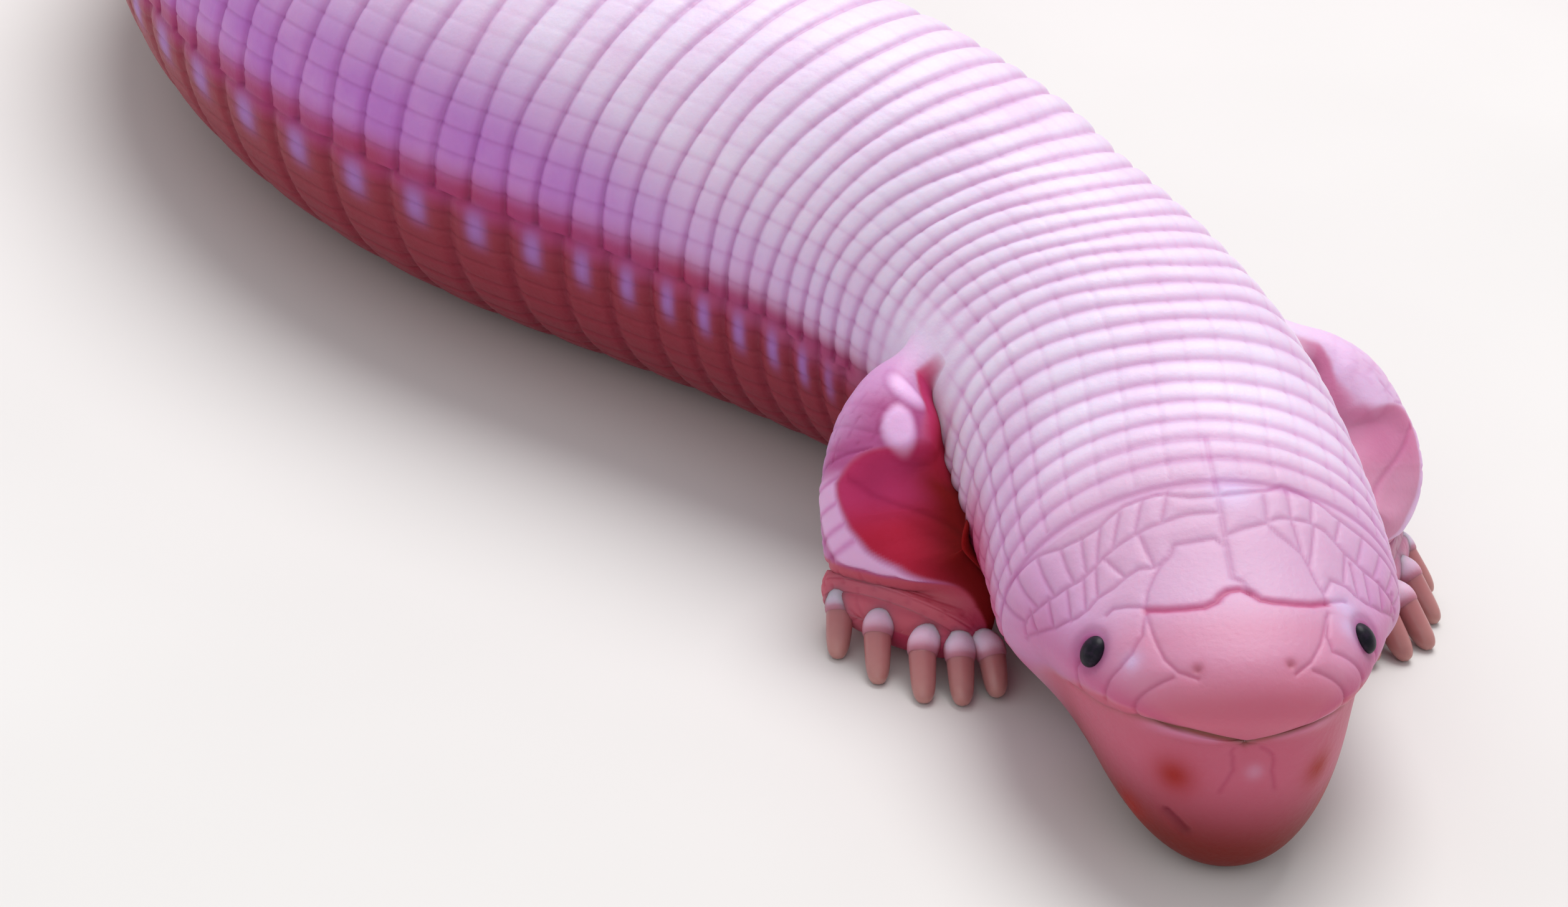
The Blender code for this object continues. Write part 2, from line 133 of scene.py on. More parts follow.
def ramp(x, a, b):
    """0 before a, 1 after b, with a soft turn."""
    t = np.clip((x - a) / (b - a), 0, 1)
    return t * t * (3 - 2 * t)


def side_angle(angle):
    """Angle up from the right side, and on the left half of the body up from the left side."""
    return np.where(angle <= 90, angle, 180 - angle)


def narrowed(angle, strength):
    """The head's section draws in below the cheeks; this is the factor on its breadth."""
    return 1 - UNDER_CHEEK * ramp(-side_angle(angle), 0, 40) * strength


def trunk(s, angle):
    """Plain surface of the body behind the head."""
    a = np.radians(angle)
    w, h = smooth(s, SECT_S, SECT_W), smooth(s, SECT_S, SECT_H)
    v = w * np.cos(a) * narrowed(angle, 1 - ramp(s, 0, 2))
    return place(s, v, np.maximum(SINK * h + h * np.sin(a), 0))


def ring_lines(first, pitch_s, pitch):
    """Places of the furrows between rings, counted on from the first one."""
    out = [first]
    while out[-1] < 190.5:
        out.append(out[-1] + float(np.interp(out[-1], pitch_s, pitch)))
    return np.array(out)


def leaning(s, angle):
    """Where the ring that crosses the back at s lies at this angle."""
    return s + np.interp(s, LEAN_S, LEAN) * ramp(side_angle(angle), 88, 12)


rings = ring_lines(-1.18, RING_S, RING_PITCH)
belly_rings = ring_lines(BELLY_FIRST, BELLY_S, BELLY_PITCH)


# The head: a blunt wedge of a few large shields. Four lines run back from the front of the
# mouth, the crown, the widest line of the cheek, the mouth and the throat, each given at ten
# stations as distance forward (U), to the side (V) and up (Z).
CROWN_U = (5.00, 5.10, 5.20, 5.06, 4.70, 4.12, 3.40, 2.60, 1.70, 0.70)
CROWN_Z = (2.60, 2.80, 3.10, 3.45, 3.78, 4.00, 4.18, 4.38, 4.60, 4.84)
CHEEK_U = (5.00, 5.06, 4.98, 4.64, 4.12, 3.50, 2.85, 2.15, 1.40, 0.60)
CHEEK_V = (0.00, 0.43, 0.92, 1.40, 1.84, 2.20, 2.50, 2.76, 2.96, 3.12)
CHEEK_Z = (2.60, 2.71, 2.80, 2.86, 2.88, 2.90, 2.90, 2.88, 2.84, 2.78)
MOUTH_U = (5.00, 4.97, 4.80, 4.40, 3.86, 3.28, 2.70, 2.08, 1.38, 0.60)
MOUTH_V = (0.00, 0.47, 0.96, 1.42, 1.76, 2.04, 2.32, 2.60, 2.82, 2.95)
MOUTH_Z = (2.60, 2.59, 2.58, 2.53, 2.44, 2.32, 2.20, 2.11, 2.03, 1.92)
THROAT_U = (5.00, 4.97, 4.99, 4.95, 4.80, 4.49, 3.78, 2.80, 1.70, 0.70)
THROAT_Z = (2.60, 2.34, 1.92, 1.20, 0.50, 0.08, 0.00, 0.00, 0.00, 0.00)
HEAD_ROWS, HEAD_KNOTS = 190, range(len(CROWN_U))
# seams between the head shields, as (station, angle) pairs: 90 is the crown, 0 the right cheek
# and 180 the left one. The first is the broad one behind the snout shield.
SNOUT_SEAM = ((5.88, 59.7), (5.77, 66), (5.73, 73), (5.73, 80), (5.84, 84.3), (5.99, 86.4),
              (6.11, 89.4), (6.15, 93.6), (6.06, 96.6), (5.86, 100), (5.79, 104.4), (5.75, 113),
              (5.77, 120), (5.9, 126.6))
SHIELD_SEAMS = (
    ((9.4, 92), (8.55, 92.1), (7.7, 92.1), (7.0, 91.8), (6.44, 91.8), (6.33, 94.5), (6.06, 96.6)),
    ((7.09, 91.6), (7.25, 88.6), (7.23, 84.9), (7.21, 80.4), (7.21, 76.5), (7.0, 73.5),
     (6.85, 69.9), (6.64, 66.6), (6.31, 62.7), (5.95, 59.8)),
    ((7.30, 92.3), (7.41, 97.8), (7.54, 105.6), (7.36, 108.3), (7.21, 112.2), (7.03, 116.4),
     (6.76, 119.1), (6.4, 122.1), (6.13, 125.1), (5.9, 126.6)),
    ((7.99, 92.2), (8.02, 95.7), (8.08, 101.4), (8.15, 106.5), (8.33, 111.6), (8.28, 117.3),
     (8.19, 123.6), (8.04, 128.7), (7.95, 136), (7.9, 150), (7.9, 168), (8.1, 186)),
    ((8.08, 105.6), (7.86, 105.8), (7.56, 105.6)),
    ((7.56, 105.6), (7.66, 109.5), (7.68, 113.4), (7.70, 118.8), (7.62, 125), (7.3, 133),
     (7.1, 143), (7.05, 158), (7.1, 176)),
    ((7.1, 0), (7.25, 8.7), (7.12, 18.3), (7.03, 30.3), (7.05, 36.9), (7.05, 43.5), (7.16, 48.9),
     (7.3, 53.7), (7.43, 59.7), (7.52, 65.1), (7.59, 69.9), (7.63, 74.4), (7.7, 82), (7.7, 92)),
    ((8.3, -10), (8.35, 15.6), (8.1, 33.3), (7.88, 42), (7.83, 50.1), (7.88, 56.1), (7.99, 60),
     (8.10, 65.1), (8.13, 70.8), (8.15, 75.3), (8.0, 84), (7.99, 92.2)),
    ((7.1, -2), (6.7, 8), (6.38, 18.5), (6.25, 32), (6.33, 39), (6.5, 44.5), (6.62, 52.2),
     (6.78, 57.9), (6.89, 63), (6.85, 68.4), (7.0, 73.5)),
    ((7.1, 182), (6.7, 172), (6.38, 161.5), (6.25, 148), (6.33, 141), (6.5, 135), (6.55, 128),
     (6.13, 125.1)),
    ((6.0, 44), (6.11, 48), (6.06, 53.7), (5.95, 59.8)), ((6.05, 136), (6.05, 134), (5.9, 126.6)),
    ((5.77, 58.5), (5.19, 52.5), (4.76, 43.2), (4.5, 32), (4.3, 14), (4.2, -4)),
    ((5.77, 59), (5.05, 57), (4.42, 56), (4.0, 58.5), (3.72, 66)),
    ((5.6, 127.5), (4.9, 129), (4.5, 134), (4.4, 148), (4.3, 166), (4.2, 184)),
    ((5.5, 127), (4.67, 126), (4.11, 122.9), (3.72, 116)),
    ((3.3, -2), (3.5, 18), (3.7, 40), (3.85, 54)),
    ((3.3, 182), (3.5, 162), (3.7, 140), (3.85, 126)),
    ((5.1, -14), (5.2, 2), (5.3, 14)),
    ((5.1, 194), (5.2, 178), (5.3, 166)),
)
# short cross seams that part the rows of scales behind the shields
CROSS_SEAMS = (((7.05, 40), (7.88, 42)), ((7.1, 46), (7.85, 50)), ((7.22, 51), (7.9, 57)),
               ((7.4, 58), (8.0, 63.5)), ((7.55, 66), (8.12, 70.8)), ((7.62, 74.4), (8.15, 78)),
               ((6.85, 68.4), (7.55, 67)), ((7.0, 73.5), (7.21, 76.5)), ((6.78, 57.9), (7.3, 54)),
               ((7.05, 30), (8.1, 33)), ((7.15, 20), (8.3, 22)), ((7.2, 9), (8.35, 10)),
               ((7.22, 15.5), (6.75, 6)), ((7.1, 27), (6.42, 17)), ((7.05, 36.5), (6.26, 28)),
               ((7.1, 44.5), (6.3, 37)), ((7.16, 50), (6.5, 44.5)), ((7.22, 164.5), (6.75, 174)),
               ((7.1, 153), (6.42, 163)), ((7.05, 143.5), (6.26, 152)), ((7.1, 136), (6.3, 143)),
               ((7.7, 120), (8.2, 121)), ((7.68, 113.4), (8.3, 113)),
               ((7.5, 129), (8.0, 131)), ((7.2, 139), (7.95, 141)), ((7.08, 149), (7.9, 151)),
               ((7.05, 160), (7.9, 161)), ((7.1, 171), (8.0, 172)), ((6.6, 134), (7.3, 133)),
               ((7.03, 116.4), (7.68, 113.4)), ((6.76, 119.1), (7.66, 121)))
# the slit of the mouth, a seam on each side of the chin and the fold of the throat
MOUTH_LINE = ((5.7, -16), (5.0, -17), (4.2, -15), (3.5, -9), (2.94, -1), (2.47, 9), (2.0, 18),
              (1.46, 25), (0.84, 32), (0.3, 45), (0.06, 90), (0.3, 170), (0.84, 176),
              (1.35, 173), (1.84, 174), (2.41, 180), (3.06, 187), (4.11, 197), (5.0, 198),
              (5.7, 197))
CHIN_SEAMS = (((0.45, -50), (0.9, -74), (1.48, -81.5), (2.29, -77.5)),
              ((0.6, 222), (1.1, 232), (1.77, 248.5), (2.34, 251.5)))
THROAT_FOLD = ((3.48, -60), (3.52, -65), (3.60, -69))
# the right nostril and the right eye as (station, angle)
NOSTRIL = (4.0, 68)
EYE = (5.3, 26)
EYE_RADIUS, EYE_UNDER = 0.25, 0.08


def head_surface(t, angle):
    """Plain surface of the head at station t, as (u, v, z)."""
    side = np.where(angle <= 90, 1.0, -1.0)
    a = side_angle(angle)
    crown_u, crown_z, cheek_u, cheek_v, cheek_z, mouth_u, mouth_v, mouth_z, throat_u, throat_z = (
        smooth(t, HEAD_KNOTS, line) for line in (CROWN_U, CROWN_Z, CHEEK_U, CHEEK_V, CHEEK_Z,
                                                MOUTH_U, MOUTH_V, MOUTH_Z, THROAT_U, THROAT_Z))
    c, q = np.cos(np.radians(a)), np.maximum(np.sin(np.radians(a)), 0)
    top = (cheek_u + (crown_u - cheek_u) * q * q, cheek_v * c,
           cheek_z + (crown_z - cheek_z) * q ** 1.12)
    q = np.clip(-a / LIP_ANGLE, 0, 1)
    lip = (cheek_u + (mouth_u - cheek_u) * q, cheek_v + (mouth_v - cheek_v) * q * q,
           cheek_z + (mouth_z - cheek_z) * q)
    below_lip = 90 - LIP_ANGLE
    b = np.radians(np.clip(-a - LIP_ANGLE, 0, below_lip) * 90 / below_lip)
    c, q = np.maximum(np.cos(b), 0), np.sin(b)
    chin = (mouth_u + (throat_u - mouth_u) * q * q, mouth_v * c ** 0.95,
            mouth_z + (throat_z - mouth_z) * q ** 0.95)
    u, v, z = (np.where(a >= 0, x, np.where(a >= -LIP_ANGLE, y, w))
               for x, y, w in zip(top, lip, chin))
    blend = ramp(t, 6.5, 9.0)
    w, h = smooth(-cheek_u, SECT_S, SECT_W), smooth(-cheek_u, SECT_S, SECT_H)
    plain_v = w * np.cos(np.radians(a))
    plain_z = np.maximum(0, SINK * h + h * np.sin(np.radians(a)))
    v = (v + (plain_v - v) * blend) * narrowed(a, ramp(t, 3.5, 8))
    return u + (cheek_u - u) * blend, v * side, z + (plain_z - z) * blend


def head_at(t, angle):
    """Points in space on the plain surface of the head."""
    u, v, z = head_surface(np.asarray(t, float), np.asarray(angle, float))
    return place(-u, v, z)


# rows of the net: the head's stations from the snout back, then ten rows to each ring
angles = column_angles(PER_SCALE)
crown_length = np.concatenate([[0], np.cumsum(np.hypot(np.diff(CROWN_U), np.diff(CROWN_Z)))])
cheek_length = np.concatenate([[0], np.cumsum(np.hypot(np.diff(CHEEK_U), np.diff(CHEEK_V)))])
mean_length = crown_length + cheek_length
stations = np.interp(np.linspace(0.02, mean_length[-1], HEAD_ROWS), mean_length,
                     HEAD_KNOTS)
first = rings[(rings > -0.52) & (rings < FINE_END)]
pitch = np.diff(first)
fine_s = np.concatenate([(first[:-1, None] + pitch[:, None] * np.array(RING_ROWS)).ravel(),
                         first[-1:]])
fine_s = np.concatenate([np.arange(-0.54, fine_s[0] - 0.02, 0.05), fine_s])
row_s = np.concatenate([-smooth(stations, HEAD_KNOTS, CHEEK_U), fine_s])
# the rings wander a little, as on the living animal
wobble = (0.030 * np.sin(0.9 * fine_s[:, None] + np.radians(angles) * 3 + 1.0)
          + 0.022 * np.sin(2.3 * fine_s[:, None] - np.radians(angles) * 5)
          + 0.016 * np.sin(5.1 * fine_s[:, None] + np.radians(angles) * 9 + 2.0))
wobble *= ramp(fine_s, 0.2, 3.0)[:, None] * ramp(fine_s, FINE_END, FINE_END - 4)[:, None]
fine_at = leaning(fine_s[:, None], angles[None, :]) + wobble
front = np.concatenate([head_at(stations[:, None], angles[None, :]),
                        trunk(fine_at, angles[None, :])])
along = np.concatenate([row_s[:len(stations), None] + 0 * fine_at[:1], fine_at])


def soften(grid, rows, columns):
    """Rounds the grid by a soft mean over a few rows and columns."""
    for axis, width in ((1, columns), (0, rows)):
        if width:
            k = np.arange(-3 * width, 3 * width + 1)
            weight = np.exp(-0.5 * (k / width) ** 2)
            weight /= weight.sum()
            total = 0
            for shift, share in zip(k, weight):
                if axis == 1:
                    total = total + share * np.roll(grid, shift, 1)
                else:
                    rows_at = np.clip(np.arange(len(grid)) + shift, 0, len(grid) - 1)
                    total = total + share * grid[rows_at]
            grid = total
    return grid


def above_floor(points, height=0):
    """Lifts points that lie below the floor up to it."""
    points[..., 2] = np.maximum(points[..., 2], height)
    return points


# rows of the neck: those rounded together with the head, those that this takes in, and those
# that seams of the head can reach
NECK_SOFT, NECK_TAKEN, NECK_NEAR = 12, 40, 60
n_head = len(stations)
soft = soften(front, 0, 5)
soft[:n_head + NECK_SOFT] = soften(soft[:n_head + NECK_TAKEN], 3, 0)[:n_head + NECK_SOFT]
fade = ramp(np.arange(len(front)), 1, 8)[:, None, None]
front = above_floor(front + (soft - front) * fade)
# distance that stands for no line in reach
FAR_OFF = 9.0


def unit(v):
    """The same direction, one long."""
    return v / np.maximum(np.linalg.norm(v, axis=-1, keepdims=True), 1e-9)


def outward(grid):
    """Unit normals of a grid that closes round its columns."""
    along = np.gradient(grid, axis=0)
    across = np.roll(grid, -1, 1) - np.roll(grid, 1, 1)
    n = unit(np.cross(across, along))
    middle = grid.mean(1, keepdims=True)
    return n * np.sign(np.sum(n * (grid - middle), -1).mean())


def nearest_line(points, line, near=0.4):
    """Distance from each point of the front grid to a line given as (station, angle) pairs."""
    knots = np.array(line, float)
    fine = np.linspace(0, len(knots) - 1, 12 * (len(knots) - 1) + 1)
    path = head_at(*(np.interp(fine, range(len(knots)), knots[:, k]) for k in (0, 1)))
    close = np.all((points > path.min(0) - near) & (points < path.max(0) + near), axis=-1)
    best = np.full(points.shape[:2], FAR_OFF)
    part, spots = best[close], points[close]
    for p, q in zip(path[:-1], path[1:]):
        d = q - p
        t = np.clip((spots - p) @ d / max(d @ d, 1e-9), 0, 1)
        part = np.minimum(part, np.linalg.norm(spots - p - t[:, None] * d, axis=-1))
    best[close] = part
    return best


def seam_gap(lines):
    """Distance from each point of the front grid to the nearest of these lines on the head."""
    out = np.full(front.shape[:2], FAR_OFF)
    for line in lines:
        out[:len(head_part)] = np.minimum(out[:len(head_part)], nearest_line(head_part, line))
    return out


def bump_at(gap, breadth):
    """1 on a line, fading out on both sides over this breadth."""
    return np.exp(-(gap / breadth) ** 2)


def gap_to(values, marks):
    """Distance from each value to the nearest mark."""
    i = np.clip(np.searchsorted(marks, values), 1, len(marks) - 1)
    return np.minimum(np.abs(values - marks[i - 1]), np.abs(values - marks[i]))


head_part = front[:n_head + NECK_NEAR]
shield, snout_seam = seam_gap(SHIELD_SEAMS + CROSS_SEAMS), seam_gap((SNOUT_SEAM,))
mouth, chin_seam, throat_fold = (seam_gap(lines) for lines in (
    (MOUTH_LINE,), CHIN_SEAMS, (THROAT_FOLD,)))
width = np.linalg.norm(np.roll(front, -1, 1) - front, axis=-1)


def scale_gap(per_scale, width):
    """Distance to the nearest line between two scales of a ring, so many columns wide."""
    k = np.arange(width.shape[1]) % per_scale
    return np.minimum(k, per_scale - k)[None, :] * width


folded = side_angle(angles)[None, :]
ring_gap = gap_to(row_s, rings)[:, None] + 0 * width
fold_angle = np.interp(along, (3, 8.5, 10, 13, 16, 180), (-6, -4, -2, -1.5, -1, -1))
# under the fold the rings are broader and have furrows of their own
under = (folded < fold_angle - 1.5) & (along > 6.3)
ring_gap = np.where(under, gap_to(along, belly_rings) * 0.65, ring_gap)
ring_number = np.searchsorted(rings, row_s + 1e-6)
# scales of the neck are half as wide again as those of the trunk; the shields of the head come
# before the first ring and the first scales
RINGS_FROM, SCALES_FROM, NECK_END = -1.3, -1.1, 3.4
with_scales = row_s[:, None] > SCALES_FROM
cross_gap = np.where(row_s[:, None] < NECK_END, scale_gap(PER_SCALE * 3 // 2, width),
                     scale_gap(PER_SCALE, width))
ring_gap = np.where(row_s[:, None] > RINGS_FROM, ring_gap, FAR_OFF)
cross_gap = np.where(with_scales, cross_gap, FAR_OFF)
line_gap = np.minimum(np.minimum(ring_gap, cross_gap), shield)

fold_on = ramp(along, 6.0, 7.6) * ramp(along, 190, 182)
fold_gap = np.abs(folded - fold_angle) * width.mean() * len(angles) / 360
fold_front = bump_at(fold_gap, 0.22) * fold_on
ring_cut = np.interp(row_s, (-1, 3, 9, 16), (0.022, 0.032, 0.055, 0.075))[:, None]
cross_cut = np.interp(row_s, (-1, 3, 9, 16), (0.016, 0.014, 0.010, 0.012))[:, None]
# the mouth is shut tight towards its corners; behind the head the stations count on from 9
mouth_on = .2 + .8 * ramp(np.concatenate([stations, 9 + fine_s]), 3.7, 2.7)[:, None]
# the scales are rounder on the flank than on the back
cross_cut = cross_cut * (1 + 1.2 * ramp(-folded, -50, -15))
relief = (-ring_cut * bump_at(ring_gap, 0.075) - cross_cut * bump_at(cross_gap, 0.042)
          - 0.018 * bump_at(shield, 0.036) - 0.014 * bump_at(chin_seam, 0.045)
          - 0.07 * bump_at(throat_fold, 0.10) - 0.044 * bump_at(snout_seam, 0.060)
          - 0.055 * mouth_on * bump_at(mouth, 0.042) - 0.035 * bump_at(mouth, 0.12)
          - 0.035 * np.exp(-(np.minimum(ring_gap, shield) / 0.15))
          - 0.055 * fold_front)
# each scale sits a little higher or lower than the next, in a fixed scatter
scale_number = (np.arange(len(angles)) // PER_SCALE)[None, :]
lift = np.sin(ring_number[:, None] * 12.9898 + scale_number * 78.233) * 43758.5453
lift = (lift - np.floor(lift)) * 0.010
relief -= np.where(with_scales & ~under, lift * (1 - bump_at(line_gap, 0.06)), 0)

eyes = [head_at(EYE[0], a) for a in (EYE[1], 180 - EYE[1])]
nostrils = [head_at(NOSTRIL[0], a) for a in (NOSTRIL[1], 180 - NOSTRIL[1])]


def apart(point):
    """Distance of the head's points from one point."""
    out = np.full(front.shape[:2], FAR_OFF)
    out[:n_head] = np.linalg.norm(front[:n_head] - point, axis=-1)
    return out


eye_gap = np.minimum(apart(eyes[0]), apart(eyes[1]))
nostril_gap = np.minimum(apart(nostrils[0]), apart(nostrils[1]))
relief -= 0.020 * bump_at(eye_gap - 0.31, 0.07) + 0.02 * bump_at(eye_gap, 0.20)
relief -= 0.05 * bump_at(nostril_gap, 0.070)
front_normal = outward(front)
front_skin = above_floor(front + front_normal * relief[..., None])

# the rest of the trunk and the tail, with half the columns
REAR_ROWS = (0, .14, .5, .86)
rear_angles = angles[::2]
last = rings[rings >= first[-1]]
rear_s = (last[:-1, None] + np.diff(last)[:, None] * np.array(REAR_ROWS)).ravel()[1:]
tip_s = np.array((190.9, 191.4, 191.9, 192.4, 192.8, 193.2, 193.5, 193.75, 193.9))
rear_s = np.concatenate([rear_s[rear_s < 190.6], tip_s])
rear_at = leaning(rear_s[:, None], rear_angles[None, :])
rear = above_floor(trunk(rear_at, rear_angles[None, :]))
rear_width = np.linalg.norm(np.roll(rear, -1, 1) - rear, axis=-1)
rear_folded = folded[:, ::2]
rear_ring = gap_to(rear_s, rings[rings < 190.7])[:, None] + 0 * rear_width
rear_cross = scale_gap(PER_SCALE // 2, rear_width)
rear_fold = np.abs(rear_folded - fold_angle[-1, 0]) * rear_width.mean() * len(rear_angles) / 360
rear_fold = bump_at(rear_fold, 0.22) * ramp(rear_at, 190, 182)
rear_ring = np.where(rear_folded < fold_angle[-1, 0] - 1.5,
                     gap_to(rear_at, belly_rings[belly_rings < 190.7]) * 0.45, rear_ring)
rear_relief = (-0.075 * bump_at(rear_ring, 0.075)
               - 0.016 * (1 + 1.2 * ramp(-rear_folded, -50, -15)) * bump_at(rear_cross, 0.05)
               - 0.035 * np.exp(-rear_ring / 0.15) - 0.055 * rear_fold)
rear_skin = above_floor(rear + outward(rear) * rear_relief[..., None])
tail_tip = place(BODY_LENGTH, 0, SINK * SECT_H[-1])

# The forelimbs: two short flat arms set behind the head, with five blunt toes each. They are of
# one piece with the skin of the neck: the net of the trunk is opened at each shoulder and runs
# out over the arm, down to the palm. The front of the arm is a smooth red hollow with a pale rim.
DOWN = np.array((0, 0, -1.0))
# down the arm: its middle line as (s, v, z), with half its breadth and half its thickness, and
# how far it has turned into the line of the hand
ARM = (((5.22, 2.75, 3.72), .44, .44), ((5.16, 3.18, 3.68), .50, .48),
       ((4.98, 3.56, 3.46), .68, .64), ((4.50, 3.84, 3.10), .88, .78),
       ((3.90, 4.12, 2.55), .98, .82), ((3.25, 4.21, 2.02), 1.05, .76),
       ((2.80, 4.14, 1.58), 1.06, .62))
ARM_TURN = (0, 0, 0, .15, .4, .7, 1)
# middle of the hand as (s, v); then the palm on from there: forward, height, half breadth and
# half thickness
HAND = (2.28, 3.95)
PALM = ((-.32, 1.00, 1.08, .48), (-.12, .78, 1.14, .56), (.14, .60, 1.26, .58),
        (.40, .58, 1.28, .40))
# each toe: its place across the hand and forward of it, its slant, and the length of its claw
DIGITS = ((-.98, .34, .20, .86), (-.16, .60, .14, .92), (.68, .66, .12, .92),
          (1.24, .44, .10, .80), (1.62, .10, .0, .60))
# half breadth and half thickness of a toe at its root, its knuckle and its tip
TOE_SIZES = ((.25, .24), (.265, .26), (.245, .235))
# the left arm mirrors the right one across the body here, is swung out a little, and its hollow
# and beads are shallower
MIRROR_AT = 2.8
LEFT_SWING = math.radians(9)
LEFT_BOLDNESS = .3
# rows down the arm, where it starts, and the row from which the hand is rounded
ARM_ROWS, ARM_START, WRIST_ROW = 170, 0.55, 90
# rows and columns of the trunk's net on each side of a shoulder's opening, and steps to the arm
HOLE_ROWS, HOLE_COLUMNS, SHOULDER_ROWS = 14, 14, 14
# down the arm in millimetres, with how far the skin is drawn out there towards the neck and
# towards the outer side
WEB_AT = (0, .9, 1.5, 2.2, 2.9, 3.5, 4.0, 4.6, 5.0)
WEB_IN = (0, 0, .14, .38, .60, .62, .50, .30, .12)
WEB_OUT = (0, 0, 0, 0, .02, .26, .46, .30, .06)
# edge of the hollow, in degrees round the arm: 0 is its edge towards the neck, 90 its front and
# 180 its outer edge; then the edge of the hand, as its distance down the arm at each degree
HOLLOW_AT = (.4, .57, .73, 1.05, 1.27, 1.65, 1.85, 1.95, 2.05, 2.2, 2.44, 2.6, 3.01, 3.27, 3.49,
             3.96, 4.3, 4.6)
HOLLOW_EDGE = (104, 98, 80, 66, 60, 57, 70, 88, 103, 114, 123, 120, 108, 93, 73, 50, 34, 5)
HAND_ROUND = (0, 30, 55, 75, 100, 145, 165, 180, 210, 250, 360)
HAND_FROM = (4.40, 4.20, 3.90, 3.62, 3.46, 3.28, 3.18, 3.15, 3.3, 3.9, 4.4)
# length of the small scales on the arm, and the degrees that each takes round it
ARM_SCALE, ARM_SCALE_TURN = 0.34, 27.0
RIDGE_SEAMS = (2.16, 2.45, 2.77, 3.06, 3.28)
# two raised scales at the top of the hollow: place, angle, length, breadth and lean
BEADS = ((1.62, 77, .42, .24, -40), (1.03, 90, .46, .17, -66))


def axes_along(line, across):
    """Directions along a line, to its given side, and square to both."""
    d = unit(np.gradient(line, axis=0))
    a = unit(across - d * np.sum(across * d, -1, keepdims=True))
    return d, a, np.cross(d, a)


def length_along(points):
    """How far each of these points lies along the line through them."""
    return np.concatenate([[0], np.cumsum(np.linalg.norm(np.diff(points, axis=0), axis=1))])


forward, right = heading(np.array(2.0))
hand_across = unit(forward * .68 - right * .73)
hand_forward = unit(forward * .73 + right * .68)
arm_across = unit(heading(np.array(5.0))[0] * .75 + DOWN * .65)
palm_middle = place(*HAND, 2.0) * (1, 1, 0)
knots = np.array([place(*p) for p, b, w in ARM]
                 + [palm_middle + hand_forward * t - DOWN * z for t, z, b, w in PALM])
knot_across = unit(np.array([arm_across + (hand_across - arm_across) * t for t in ARM_TURN]
                            + [hand_across] * 4))
knot_size = np.array([(b, w) for p, b, w in ARM] + [(b, w) for t, z, b, w in PALM])
reach = length_along(knots)


def along_arm(values, at):
    """Values at the arm's knots, drawn out smoothly along it."""
    return np.stack([smooth(at, reach, values[:, k]) for k in range(values.shape[1])], -1)


whole = np.linspace(0, reach[-1], 200)
line = soften(along_arm(knots, whole)[:, None], 7, 0)[:, 0]
arm_s = np.linspace(ARM_START, reach[-1], ARM_ROWS)
arm_line = np.stack([np.interp(arm_s, whole, line[:, k]) for k in range(3)], -1)
arm_size = along_arm(knot_size, arm_s)
tip_rows = np.linspace(0, 1, 9)[1:]
arm_line = np.concatenate([arm_line, arm_line[-1] + hand_forward * 0.22 * np.sin(
    tip_rows * math.pi / 2)[:, None]])
arm_size = np.concatenate([arm_size, arm_size[-1] * np.stack(
    [1 - .35 * tip_rows ** 2.5, np.cos(tip_rows * math.pi / 2 * .97)], -1)])
arm_a = along_arm(knot_across, arm_s)
arm_a = np.concatenate([arm_a, np.repeat(arm_a[-1:], 8, 0)])
arm_s = np.concatenate([arm_s, reach[-1] + tip_rows * .25])
arm_d, arm_a, arm_b = axes_along(arm_line, arm_a)
web_in, web_out = smooth(arm_s, WEB_AT, WEB_IN), smooth(arm_s, WEB_AT, WEB_OUT)
mirror_point = np.array((np.interp(MIRROR_AT, line_s, line_x),
                         np.interp(MIRROR_AT, line_s, line_y), 0))
mirror_right = heading(np.array(MIRROR_AT))[1]


def limb_side(p, side):
    """Points of the right limb, or their mirror image, swung out a little, for the left one."""
    if side == 1:
        return p
    p, root = (q - 2 * mirror_right * ((q - mirror_point) @ mirror_right)[..., None]
               for q in (p, place(*ARM[2][0])))
    c, q = math.cos(LEFT_SWING), math.sin(LEFT_SWING)
    p = p - root
    return root + np.stack([p[..., 0] * c - p[..., 1] * q, p[..., 0] * q + p[..., 1] * c,
                            p[..., 2]], -1)


